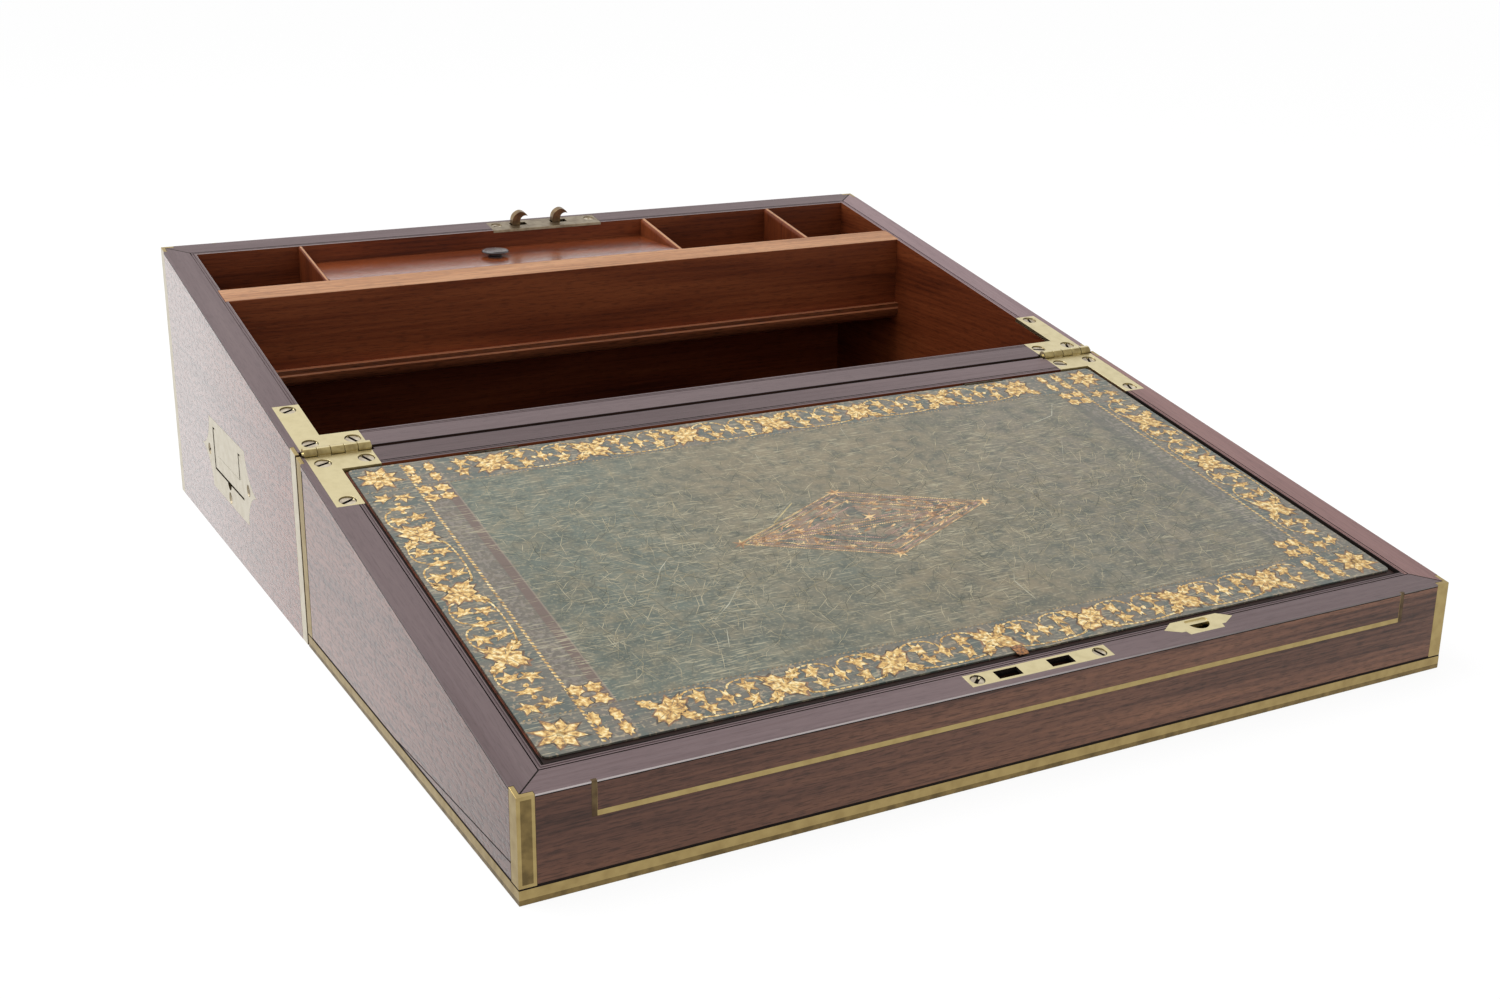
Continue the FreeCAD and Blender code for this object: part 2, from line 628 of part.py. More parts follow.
def swing_rooms():
    """Room over each leg's end, for the leg to stand straight out of the plate."""
    x0 = bail_x()
    reach = BAIL_THICK / 2 + BAIL_INNER_GAP
    rooms = []
    for end in leg_ends(BAIL_INNER_GAP, reach):
        y0 = end.BoundBox.YMin
        rooms.append(box(x0, WIDTH / 2 + STRAP_THICK, y0, y0 + end.BoundBox.YLength,
                         PIVOT_Z, PIVOT_Z + reach))
    return rooms


def bail_x():
    return WIDTH / 2 - BAIL_SUNK - BAIL_THICK / 2


def make_handle(side, prefix):
    """Plate with its pan, bail and pins on one side of the base."""
    face = handle_outline().extrude(Vector(STRAP_THICK, 0, 0))
    face.translate(Vector(WIDTH / 2 - STRAP_THICK, HANDLE_Y, HANDLE_Z))
    pan_y = BAIL_LENGTH / 2 + HANDLE_PAN_WALL
    pan_low = PIVOT_Z - BAIL_DROP - HANDLE_PAN_WALL
    pan = box(WIDTH / 2 - HANDLE_PAN_DEPTH, WIDTH / 2 - STRAP_THICK, HANDLE_Y - pan_y,
              HANDLE_Y + pan_y, pan_low, PIVOT_Z + HANDLE_PAN_WALL)
    solid_plate = joined([face, pan])
    room_back = BAIL_SUNK + BAIL_THICK + BAIL_GAP
    rooms = [bail_shape(BAIL_GAP, BAIL_INNER_GAP, room_back, -STRAP_THICK)]
    rooms += leg_ends(BAIL_INNER_GAP, BAIL_THICK / 2 + BAIL_INNER_GAP)
    rooms += swing_rooms()
    notch = Part.makeCylinder(NAIL_NOTCH, room_back + STRAP_THICK,
                              Vector(WIDTH / 2 - room_back, HANDLE_Y, PIVOT_Z - BAIL_DROP),
                              Vector(1, 0, 0))
    rooms.append(notch)
    bail = joined([bail_shape(0, 0, BAIL_SUNK + BAIL_THICK, BAIL_SUNK)]
                  + leg_ends(0, BAIL_THICK / 2))
    plate = solid_plate.cut(joined(rooms))
    pins, holes = handle_pins()
    add(prefix + "_handle_plate", side(plate.cut(holes)))
    add(prefix + "_handle_bail", side(bail.cut(holes)))
    add("handle_pins", *[side(pin) for pin in pins])
    wall = "base_" + prefix + "_wall"
    carve(side(solid_plate), wall, "base_side_veneers")
    return wall


def handle_pins():
    """A short pin through each leg, let into the pan, and the holes for both."""
    pins = []
    reach = BAIL_LEG + 2 * BAIL_GAP + HANDLE_PAN_WALL
    for sign in (-1, 1):
        middle = HANDLE_Y + sign * (BAIL_LENGTH / 2 - BAIL_LEG / 2)
        start = Vector(bail_x(), middle - reach / 2, PIVOT_Z)
        pins.append(Part.makeCylinder(BAIL_PIN_RADIUS, reach, start, Vector(0, 1, 0)))
    holes = []
    for pin in pins:
        start = Vector(bail_x(), pin.BoundBox.YMin, PIVOT_Z)
        holes.append(Part.makeCylinder(BAIL_PIN_RADIUS + PIN_PLAY, reach, start, Vector(0, 1, 0)))
    return pins, joined(holes)


def side_place(side, y, z):
    """Places a screw in the right face of the box, or through the mirror in the left one."""
    def place(shape):
        moved = shape.copy()
        moved.rotate(Vector(0, 0, 0), Vector(0, 1, 0), 90)
        moved.translate(Vector(WIDTH / 2 - SCREW_SUNK, y, z))
        return side(moved)
    return place


def make_handles():
    reach = HANDLE_LENGTH / 2 + SCREW_HEAD_RADIUS
    low = HANDLE_Z - HANDLE_HEIGHT / 2 + SMALL_HEAD_RADIUS + SCREW_EDGE
    for side, prefix in ((mirror_x, "left"), (Part.Shape.copy, "right")):
        wall = make_handle(side, prefix)
        into = (prefix + "_handle_plate", "base_side_veneers", wall)
        turn = 10
        for y, z in ((HANDLE_Y - reach, HANDLE_Z), (HANDLE_Y + reach, HANDLE_Z), (HANDLE_Y, low)):
            drive(side_place(side, y, z), "base_small_screws", into,
                  SMALL_HEAD_RADIUS, SMALL_SHANK_RADIUS, SMALL_SCREW_LENGTH, turn)
            turn += 55


# ---- inside the base ----
def cross_back_y():
    return END_RAIL_Y - CROSS_WALL_FROM_BACK


def make_cross_wall():
    """Panel in front of the tray, housed in the side linings, with a moulding at its foot."""
    back = cross_back_y()
    front = back - CROSS_WALL_THICK
    below = slope_layer(RIM_DEPTH, FAR)
    reach = INNER_X + HOUSING
    wall = box(-reach, reach, front, back, TRAY_FLOOR_HEIGHT, FAR).common(below)
    carve(wall, "base_lining")
    add("cross_wall", wall)
    z0 = TRAY_FLOOR_HEIGHT
    z1 = z0 + MOULDING_HEIGHT
    bead_z = z1 - MOULDING_BEAD
    ovolo = bead_z - z0
    bead_out = front - MOULDING_DEPTH
    lines = [Vector(-INNER_X, front, z0), Vector(-INNER_X, front, z1),
             Vector(-INNER_X, bead_out, z1), Vector(-INNER_X, bead_out, bead_z)]
    hollow = Vector(-INNER_X, front - MOULDING_DEPTH * 0.75, z0 + ovolo * 0.35)
    edges = [Part.LineSegment(lines[0], lines[1]).toShape(),
             Part.LineSegment(lines[1], lines[2]).toShape(),
             Part.LineSegment(lines[2], lines[3]).toShape(),
             Part.Arc(lines[3], hollow, lines[0]).toShape()]
    add("cross_wall_moulding", Part.Face(Part.Wire(edges)).extrude(Vector(2 * INNER_X, 0, 0)))


def divider(x, thick):
    """A thin board across the tray, rounded on top, which stands on the tray floor."""
    y0 = cross_back_y()
    z0 = TRAY_FLOOR_HEIGHT + TRAY_FLOOR_THICK
    below = slope_layer(RIM_DEPTH + thick / 2, FAR)
    board = box(x - thick / 2, x + thick / 2, y0, END_RAIL_Y, z0, FAR).common(below)
    round_top = Part.makeCylinder(thick / 2, FAR, Vector(x, -FAR / 2, -RIM_DEPTH - thick / 2),
                                  Vector(0, 1, 0))
    top = on_slope(round_top).common(box(x - thick, x + thick, y0, END_RAIL_Y, z0, FAR))
    return joined([board, top])


def make_tray():
    y0 = cross_back_y()
    z0 = TRAY_FLOOR_HEIGHT
    add("tray_floor", box(-INNER_X, INNER_X, y0, END_RAIL_Y, z0, z0 + TRAY_FLOOR_THICK))
    left = -INNER_X + LEFT_COMPARTMENT + LEFT_DIVIDER_THICK / 2
    right = INNER_X - RIGHT_COMPARTMENT - RIGHT_DIVIDER_THICK / 2
    middle = right - MIDDLE_COMPARTMENT - (RIGHT_DIVIDER_THICK + MIDDLE_DIVIDER_THICK) / 2
    add("left_divider", divider(left, LEFT_DIVIDER_THICK))
    add("middle_divider", divider(middle, MIDDLE_DIVIDER_THICK))
    add("right_divider", divider(right, RIGHT_DIVIDER_THICK))
    x0 = left + LEFT_DIVIDER_THICK / 2
    x1 = middle - MIDDLE_DIVIDER_THICK / 2
    z1 = TRAY_LID_TOP - TRAY_LID_THICK
    add("tray_lid_ledges", box(x0, x0 + LEDGE, y0, END_RAIL_Y, z1 - LEDGE, z1),
        box(x1 - LEDGE, x1, y0, END_RAIL_Y, z1 - LEDGE, z1))
    lid = box(x0 + TRAY_LID_PLAY, x1 - TRAY_LID_PLAY, y0 + TRAY_LID_PLAY,
              END_RAIL_Y - TRAY_LID_PLAY, z1, TRAY_LID_TOP)
    knob_foot = Vector((x0 + x1) / 2, (y0 + END_RAIL_Y) / 2, TRAY_LID_TOP)
    mortise = Part.makeCylinder(KNOB_TENON, TRAY_LID_THICK, Vector(knob_foot.x, knob_foot.y, z1))
    add("pen_tray_lid", lid.cut(mortise))
    add("tray_lid_knob", knob(knob_foot))


def knob(foot):
    """A turned knob: tenon, foot, hollow neck and a low flat head with a rounded rim."""
    r = KNOB_RADIUS
    h = KNOB_HEIGHT
    foot_r = r * 0.54
    crown_r = r * 0.84
    shoulder = Vector(foot_r, 0, h * 0.1)
    neck = Vector(KNOB_NECK, 0, h * 0.34)
    brim = Vector(r, 0, h * 0.70)
    crown = Vector(crown_r, 0, h)
    edges = [Part.makePolygon([Vector(0, 0, h), Vector(0, 0, -TRAY_LID_THICK),
                               Vector(KNOB_TENON, 0, -TRAY_LID_THICK), Vector(KNOB_TENON, 0, 0),
                               Vector(foot_r, 0, 0), shoulder])]
    edges.append(Part.Arc(shoulder, Vector((foot_r + KNOB_NECK) * 0.48, 0, h * 0.18), neck).toShape())
    edges.append(Part.Arc(neck, Vector(r * 0.72, 0, h * 0.46), brim).toShape())
    edges.append(Part.Arc(brim, Vector(r * 0.965, 0, h * 0.90), crown).toShape())
    edges.append(Part.LineSegment(crown, Vector(0, 0, h)).toShape())
    pieces = [edge for shape in edges for edge in shape.Edges]
    turned = Part.Face(Part.Wire(Part.__sortEdges__(pieces)))
    solid = turned.revolve(Vector(0, 0, 0), Vector(0, 0, 1), 360)
    solid.translate(foot)
    return solid


# ---- writing flap ----
def flap_axis():
    """y and z of the flap's hinge pins, in the joint at the back of the flap."""
    y = -SEAM_RAIL_Y - FLAP_PIN_FROM_RAIL
    return y, slope_height(y) - FLAP_PIN_DEPTH / math.cos(SLOPE)


def flap_back():
    """y of the flap board's upright back edge."""
    return -SEAM_RAIL_Y - FLAP_PIN_FROM_RAIL - FLAP_PIN_FROM_BOARD


def flap_front():
    """v of the flap board's front edge, which is square to the slope."""
    return (END_RAIL_Y - FLAP_PLAY) / math.cos(SLOPE)


def make_flap():
    """Board and leather: the back edge is upright, the other edges are square to the slope."""
    x = INNER_X - FLAP_PLAY
    behind = box(-FAR, FAR, -FAR, flap_back(), -FAR, FAR)
    board_top = FLAP_DEPTH + LEATHER_THICK
    board = on_slope(box(-x, x, -flap_front(), 0, -board_top - FLAP_THICK, -board_top))
    add("flap_board", board.common(behind))
    skin_x = x - LEATHER_SIDE_MARGIN
    skin_front = -flap_front() + LEATHER_FRONT_MARGIN
    skin = on_slope(box(-skin_x, skin_x, skin_front, 0, -board_top, -FLAP_DEPTH))
    skin_behind = box(-FAR, FAR, -FAR, flap_back() - LEATHER_BACK_MARGIN, -FAR, FAR)
    add("writing_leather", skin.common(skin_behind))
    tab_front = max(skin_front - TAB_LENGTH / 2, -flap_front())
    tab = on_slope(box(-TAB_WIDTH / 2, TAB_WIDTH / 2, tab_front, skin_front + TAB_LENGTH / 2,
                       -FLAP_DEPTH, -FLAP_DEPTH + TAB_THICK))
    heel = on_slope(box(-TAB_WIDTH / 2, TAB_WIDTH / 2, tab_front, skin_front,
                        -board_top, -FLAP_DEPTH))
    add("pull_tab", joined([tab, heel]))


def make_flap_ledges():
    """Fillets on the linings under the two sides and the front of the flap board."""
    top = FLAP_DEPTH + LEATHER_THICK + FLAP_THICK
    layer = slope_layer(top, top + FLAP_LEDGE)
    y0 = -END_RAIL_Y
    y1 = -SEAM_RAIL_Y
    left = box(-INNER_X, -INNER_X + FLAP_LEDGE, y0, y1, 0, FAR)
    front = box(-INNER_X + FLAP_LEDGE, INNER_X - FLAP_LEDGE, y0, y0 + FLAP_LEDGE, 0, FAR)
    add("flap_ledges", left.common(layer), mirror_x(left).common(layer), front.common(layer))


def flap_hinge_knuckle(x, index, radius):
    """One of three knuckles, numbered from the left."""
    y, z = flap_axis()
    length = FLAP_HINGE_LENGTH / 3
    x0 = x - FLAP_HINGE_LENGTH / 2 + index * length + (KNUCKLE_GAP / 2 if index else 0)
    x1 = x - FLAP_HINGE_LENGTH / 2 + (index + 1) * length - (KNUCKLE_GAP / 2 if index < 2 else 0)
    return Part.makeCylinder(radius, x1 - x0, Vector(x0, y, z), Vector(1, 0, 0))


def flap_hinge_plate(x, index, face_y, toward):
    """The part of a leaf under one knuckle, let into the face that it is fixed to."""
    knuckle = flap_hinge_knuckle(x, index, FLAP_KNUCKLE_RADIUS)
    y, z = flap_axis()
    y0, y1 = sorted((y, face_y + toward * FLAP_HINGE_PLATE))
    web = box(knuckle.BoundBox.XMin, knuckle.BoundBox.XMax, y0, y1, z - FLAP_KNUCKLE_RADIUS, z)
    return joined([knuckle, web])


def make_flap_hinges():
    y, z = flap_axis()
    half_length = FLAP_HINGE_LENGTH / 2
    room_radius = FLAP_KNUCKLE_RADIUS + KNUCKLE_ROOM
    for x in (-INNER_X + FLAP_HINGE_INSET, INNER_X - FLAP_HINGE_INSET):
        bore = Part.makeCylinder(FLAP_PIN_RADIUS + PIN_PLAY, FAR, Vector(x - FAR / 2, y, z),
                                 Vector(1, 0, 0))
        x0 = x - half_length
        x1 = x + half_length
        room = Part.makeCylinder(room_radius, FLAP_HINGE_LENGTH + 2 * KNUCKLE_GAP,
                                 Vector(x0 - KNUCKLE_GAP, y, z), Vector(1, 0, 0))
        rail_face = -SEAM_RAIL_Y
        board_face = flap_back()
        rail_plate = box(x0, x1, rail_face, rail_face + FLAP_HINGE_PLATE, z - FLAP_HINGE_DROP, z)
        board_plate = box(x0, x1, board_face - FLAP_HINGE_PLATE, board_face,
                          z - FLAP_HINGE_DROP, z - room_radius)
        rail_leaf = [rail_plate.cut(flap_hinge_knuckle(x, 1, room_radius))]
        rail_leaf += [flap_hinge_plate(x, index, rail_face, 1) for index in (0, 2)]
        board_leaf = [board_plate, flap_hinge_plate(x, 1, board_face, -1)]
        board_leaf.append(hinge_strap(x, board_face, z, room_radius))
        rail_leaf = joined(rail_leaf).cut(bore)
        board_leaf = joined(board_leaf).cut(bore)
        carve(room, "lid_lining", "lid_rim", "flap_board", "writing_leather")
        carve(rail_leaf, "lid_lining")
        carve(board_leaf, "flap_board")
        add("flap_hinge_lid_leaves", rail_leaf)
        add("flap_hinge_leaves", board_leaf)
        add("flap_hinge_pins", Part.makeCylinder(FLAP_PIN_RADIUS, FLAP_HINGE_LENGTH,
                                                 Vector(x0, y, z), Vector(1, 0, 0)))


def hinge_strap(x, board_face, z, room_radius):
    """Joins the middle knuckle's web to the plate on the flap board."""
    knuckle = flap_hinge_knuckle(x, 1, FLAP_KNUCKLE_RADIUS)
    return box(knuckle.BoundBox.XMin, knuckle.BoundBox.XMax, board_face - FLAP_HINGE_PLATE,
               board_face, z - room_radius - FLAP_HINGE_PLATE, z)


# ---- flap lock ----
def flap_plate_outline():
    """Pointed face plate, from the inner edge of the rim outwards, on a level closing plane."""
    half = FLAP_LOCK_LENGTH / 2
    inner = END_RAIL_Y / math.cos(SLOPE)
    wide = FLAP_LOCK_WIDTH
    right_side = [(0.5, 1), (0.53, 0.75), (0.64, 0.75), (1, 0.39), (0.67, 0)]
    shape = [(-sx, sy) for sx, sy in reversed(right_side)] + right_side
    return [(FLAP_LOCK_X + half * sx, -inner - wide * sy) for sx, sy in shape]


def flap_keyhole():
    """A keyhole with a straight and a round edge, and a shallow oval on its inner side."""
    straight_y = -END_RAIL_Y / math.cos(SLOPE) - FLAP_LOCK_WIDTH * 0.4
    centre_y = straight_y - FLAP_KEY_DEPTH + FLAP_KEY_RADIUS
    disc = Part.makeCylinder(FLAP_KEY_RADIUS, 4 * PLATE_THICK,
                             Vector(FLAP_LOCK_X, centre_y, -3 * PLATE_THICK))
    hole = disc.common(box(-FAR, FAR, -FAR, straight_y, -FAR, FAR))
    end = PUSH_WIDTH / 2
    push_y = (straight_y - END_RAIL_Y / math.cos(SLOPE)) / 2
    reach = PUSH_LENGTH / 2 - end
    low = -RIM_DEPTH - PUSH_DEPTH
    ovals = [box(FLAP_LOCK_X - reach, FLAP_LOCK_X + reach, push_y - end, push_y + end,
                 low, PUSH_DEPTH)]
    for sign in (-1, 1):
        ovals.append(Part.makeCylinder(end, PUSH_DEPTH - low,
                                       Vector(FLAP_LOCK_X + sign * reach, push_y, low)))
    return hole, joined(ovals)


def make_flap_lock():
    """Face plate, case and bolt in the lid's front rim."""
    plate = prism(flap_plate_outline(), -RIM_DEPTH - PLATE_THICK, -RIM_DEPTH)
    plate = on_slope(plate).common(box(-FAR, FAR, -FAR, -END_RAIL_Y, 0, FAR))
    outer_y = END_RAIL_Y + FLAP_LOCK_WIDTH * math.cos(SLOPE)
    middle_depth = FLAP_DEPTH + LEATHER_THICK + FLAP_THICK / 2
    floor_depth = middle_depth + FLAP_BOLT_THICK / 2 + FLAP_BOLT_PLAY + FLAP_CASE_WALL
    case, hollow = case_shape(FLAP_LOCK_X, FLAP_CASE_LENGTH, -outer_y, -END_RAIL_Y,
                              floor_depth, FLAP_CASE_WALL)
    tip = END_RAIL_Y / math.cos(SLOPE) + middle_depth * math.tan(SLOPE) + FLAP_BOLT_PLAY
    x0 = FLAP_LOCK_X - FLAP_BOLT_WIDTH / 2
    x1 = FLAP_LOCK_X + FLAP_BOLT_WIDTH / 2
    z0 = -middle_depth - FLAP_BOLT_THICK / 2
    bolt = box(x0, x1, -tip - FLAP_BOLT_LENGTH, -tip, z0, z0 + FLAP_BOLT_THICK)
    play = FLAP_BOLT_PLAY
    way = box(x0 - play, x1 + play, -tip - FLAP_BOLT_LENGTH - play, -tip + FLAP_BOLT_THROW + play,
              z0 - play, z0 + FLAP_BOLT_THICK + play)
    keyhole, push = flap_keyhole()
    carve(plate, "lid_rim", "lid_lining", "lid_front_wall")
    carve(case, "lid_rim", "lid_lining", "lid_front_wall")
    add("flap_lock_plate", plate.cut(on_slope(keyhole)).cut(on_slope(push)))
    add("flap_lock_case", case.cut(hollow).cut(on_slope(way)))
    add("flap_bolt", on_slope(bolt))
    carve(on_slope(way), "flap_board", "lid_front_wall")


# ---- put together ----
def build():
    make_carcass(1, "base", 0)
    make_carcass(-1, "lid", VENEER)
    make_boards()
    make_binding()
    make_straps(1, "base", BASE_SEAM_STRAP, 0)
    make_straps(-1, "lid", LID_SEAM_STRAP, BINDING_HEIGHT + BINDING_GAP)
    make_stringing(1, "base")
    make_stringing(-1, "lid")
    make_hinges()
    make_lock()
    make_striker()
    make_escutcheon()
    make_handles()
    make_cross_wall()
    make_tray()
    make_flap()
    make_flap_ledges()
    make_flap_hinges()
    make_flap_lock()


def export():
    os.makedirs("parts", exist_ok=True)
    for name, solids in nodes.items():
        shape = solids[0] if len(solids) == 1 else Part.makeCompound(solids)
        shape.exportStep("parts/" + name + ".step")
        print(name, len(solids), "valid" if shape.isValid() else "NOT VALID",
              round(sum(solid.Volume for solid in solids), 1))


build()
export()
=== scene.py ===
import math
import random

import bmesh
import bpy
from mathutils import Matrix, Vector


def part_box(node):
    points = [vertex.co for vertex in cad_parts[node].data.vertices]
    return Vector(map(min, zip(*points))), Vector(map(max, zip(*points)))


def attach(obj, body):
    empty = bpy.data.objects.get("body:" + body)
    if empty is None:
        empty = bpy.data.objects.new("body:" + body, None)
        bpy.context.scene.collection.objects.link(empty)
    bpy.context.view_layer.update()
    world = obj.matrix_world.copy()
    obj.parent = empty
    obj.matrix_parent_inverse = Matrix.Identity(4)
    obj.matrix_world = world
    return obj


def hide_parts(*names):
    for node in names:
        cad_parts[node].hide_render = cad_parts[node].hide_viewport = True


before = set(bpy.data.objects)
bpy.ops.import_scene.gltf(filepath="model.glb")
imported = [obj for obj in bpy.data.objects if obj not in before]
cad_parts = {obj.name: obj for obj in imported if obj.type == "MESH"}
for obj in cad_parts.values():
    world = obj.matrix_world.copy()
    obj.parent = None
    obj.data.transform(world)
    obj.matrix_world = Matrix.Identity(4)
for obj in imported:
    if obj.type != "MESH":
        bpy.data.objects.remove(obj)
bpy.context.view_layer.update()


# ---- Studio ----
# The open box stands on a pale table in a white room, under one wide soft lamp and a white sky.
# The camera looks from the front left, a little above the writing slope.
CAMERA_PLACE = Vector((-0.427767, -0.789788, 0.337404))
CAMERA_AZIMUTH = math.radians(-28.877086)
CAMERA_ELEVATION = math.radians(18.454826)
CAMERA_ROLL = math.radians(0.668469)
CAMERA_LENS = 44.307
FLOOR_SIZE = 30.0
FLOOR_GAP = 0.0002
FLOOR_COLOUR = (0.86, 0.86, 0.86, 1)
FLOOR_GLOW = 0.86             # share of plain white in the table that a camera or a polish sees
SKY_ON_OBJECT = 0.62
LAMP_PLACE = Vector((-0.9, 0.5, 1.9))
LAMP_AIM = Vector((0.0, 0.0, 0.05))
LAMP_SIZE = 1.6
LAMP_POWER = 26.0

towards_camera = Vector((math.sin(CAMERA_AZIMUTH) * math.cos(CAMERA_ELEVATION),
                         -math.cos(CAMERA_AZIMUTH) * math.cos(CAMERA_ELEVATION),
                         math.sin(CAMERA_ELEVATION)))
level_right = (-towards_camera).cross(Vector((0, 0, 1))).normalized()
level_up = level_right.cross(-towards_camera)
right = level_right * math.cos(CAMERA_ROLL) + level_up * math.sin(CAMERA_ROLL)
up = level_up * math.cos(CAMERA_ROLL) - level_right * math.sin(CAMERA_ROLL)
camera_data = bpy.data.cameras.new("camera")
camera_data.lens = CAMERA_LENS
camera_data.sensor_width = 36
camera_data.sensor_fit = "HORIZONTAL"
camera_data.clip_start = 0.01
camera = bpy.data.objects.new("camera", camera_data)
bpy.context.scene.collection.objects.link(camera)
turned = Matrix((right, up, towards_camera)).transposed().to_4x4()
camera.matrix_world = Matrix.Translation(CAMERA_PLACE) @ turned
bpy.context.scene.camera = camera
bpy.context.scene.view_settings.view_transform = "Standard"


def new_material(name):
    material = bpy.data.materials.new(name)
    material.use_nodes = True
    return material, material.node_tree.nodes, material.node_tree.links


def seen_rays(nodes, links):
    """1 for rays from the camera and for those that metal, polish or glass send on."""
    path = nodes.new("ShaderNodeLightPath")
    first = nodes.new("ShaderNodeMath")
    first.operation = "MAXIMUM"
    links.new(path.outputs["Is Camera Ray"], first.inputs[0])
    links.new(path.outputs["Is Glossy Ray"], first.inputs[1])
    both = nodes.new("ShaderNodeMath")
    both.operation = "MAXIMUM"
    links.new(first.outputs[0], both.inputs[0])
    links.new(path.outputs["Is Transmission Ray"], both.inputs[1])
    return both.outputs[0]


sky = bpy.data.worlds.new("white_sky")
bpy.context.scene.world = sky
sky.use_nodes = True
sky_nodes = sky.node_tree.nodes
sky_links = sky.node_tree.links
sky_nodes["Background"].inputs["Color"].default_value = (1, 1, 1, 1)
strength = sky_nodes.new("ShaderNodeMapRange")
strength.inputs["To Min"].default_value = SKY_ON_OBJECT
strength.inputs["To Max"].default_value = 1.0
sky_links.new(seen_rays(sky_nodes, sky_links), strength.inputs["Value"])
sky_links.new(strength.outputs["Result"], sky_nodes["Background"].inputs["Strength"])

lamp_data = bpy.data.lights.new("wide_lamp", "AREA")
lamp_data.shape = "DISK"
lamp_data.size = LAMP_SIZE
lamp_data.energy = LAMP_POWER
lamp = bpy.data.objects.new("wide_lamp", lamp_data)
lamp.matrix_world = (Matrix.Translation(LAMP_PLACE)
                     @ (LAMP_AIM - LAMP_PLACE).to_track_quat("-Z", "Y").to_matrix().to_4x4())
bpy.context.scene.collection.objects.link(lamp)


def finish_mesh(shape, name):
    """Turns a bmesh into a linked object of that name."""
    mesh = bpy.data.meshes.new(name)
    shape.to_mesh(mesh)
    shape.free()
    piece = bpy.data.objects.new(name, mesh)
    bpy.context.scene.collection.objects.link(piece)
    return piece


floor_shape = bmesh.new()
bmesh.ops.create_grid(floor_shape, x_segments=1, y_segments=1, size=FLOOR_SIZE / 2,
                      matrix=Matrix.Translation((0, 0, -FLOOR_GAP)))
floor = finish_mesh(floor_shape, "table_top")
floor_white, nodes, links = new_material("white_table")
nodes["Principled BSDF"].inputs["Base Color"].default_value = FLOOR_COLOUR
nodes["Principled BSDF"].inputs["Roughness"].default_value = 0.9
nodes["Principled BSDF"].inputs["Specular IOR Level"].default_value = 0.1
glow = nodes.new("ShaderNodeEmission")
glow.inputs["Strength"].default_value = 1.06
blend_share = nodes.new("ShaderNodeMath")
blend_share.operation = "MULTIPLY"
blend_share.inputs[1].default_value = FLOOR_GLOW
links.new(seen_rays(nodes, links), blend_share.inputs[0])
floor_mix = nodes.new("ShaderNodeMixShader")
links.new(blend_share.outputs[0], floor_mix.inputs["Fac"])
links.new(nodes["Principled BSDF"].outputs[0], floor_mix.inputs[1])
links.new(glow.outputs[0], floor_mix.inputs[2])
links.new(floor_mix.outputs[0], nodes["Material Output"].inputs["Surface"])
floor.data.materials.append(floor_white)


# ---- Carcass of the base and of the lid ----
# Mahogany walls with a bottom board and a top panel glued between them. Veneer and linings cover
# most of it, so it shows only from inside and below, stained dark. The grain runs along each board.
FADE_POLISH_SHARE = 0.62            # share of the polish that is left where a wood's colour takes the whole tint of its fade
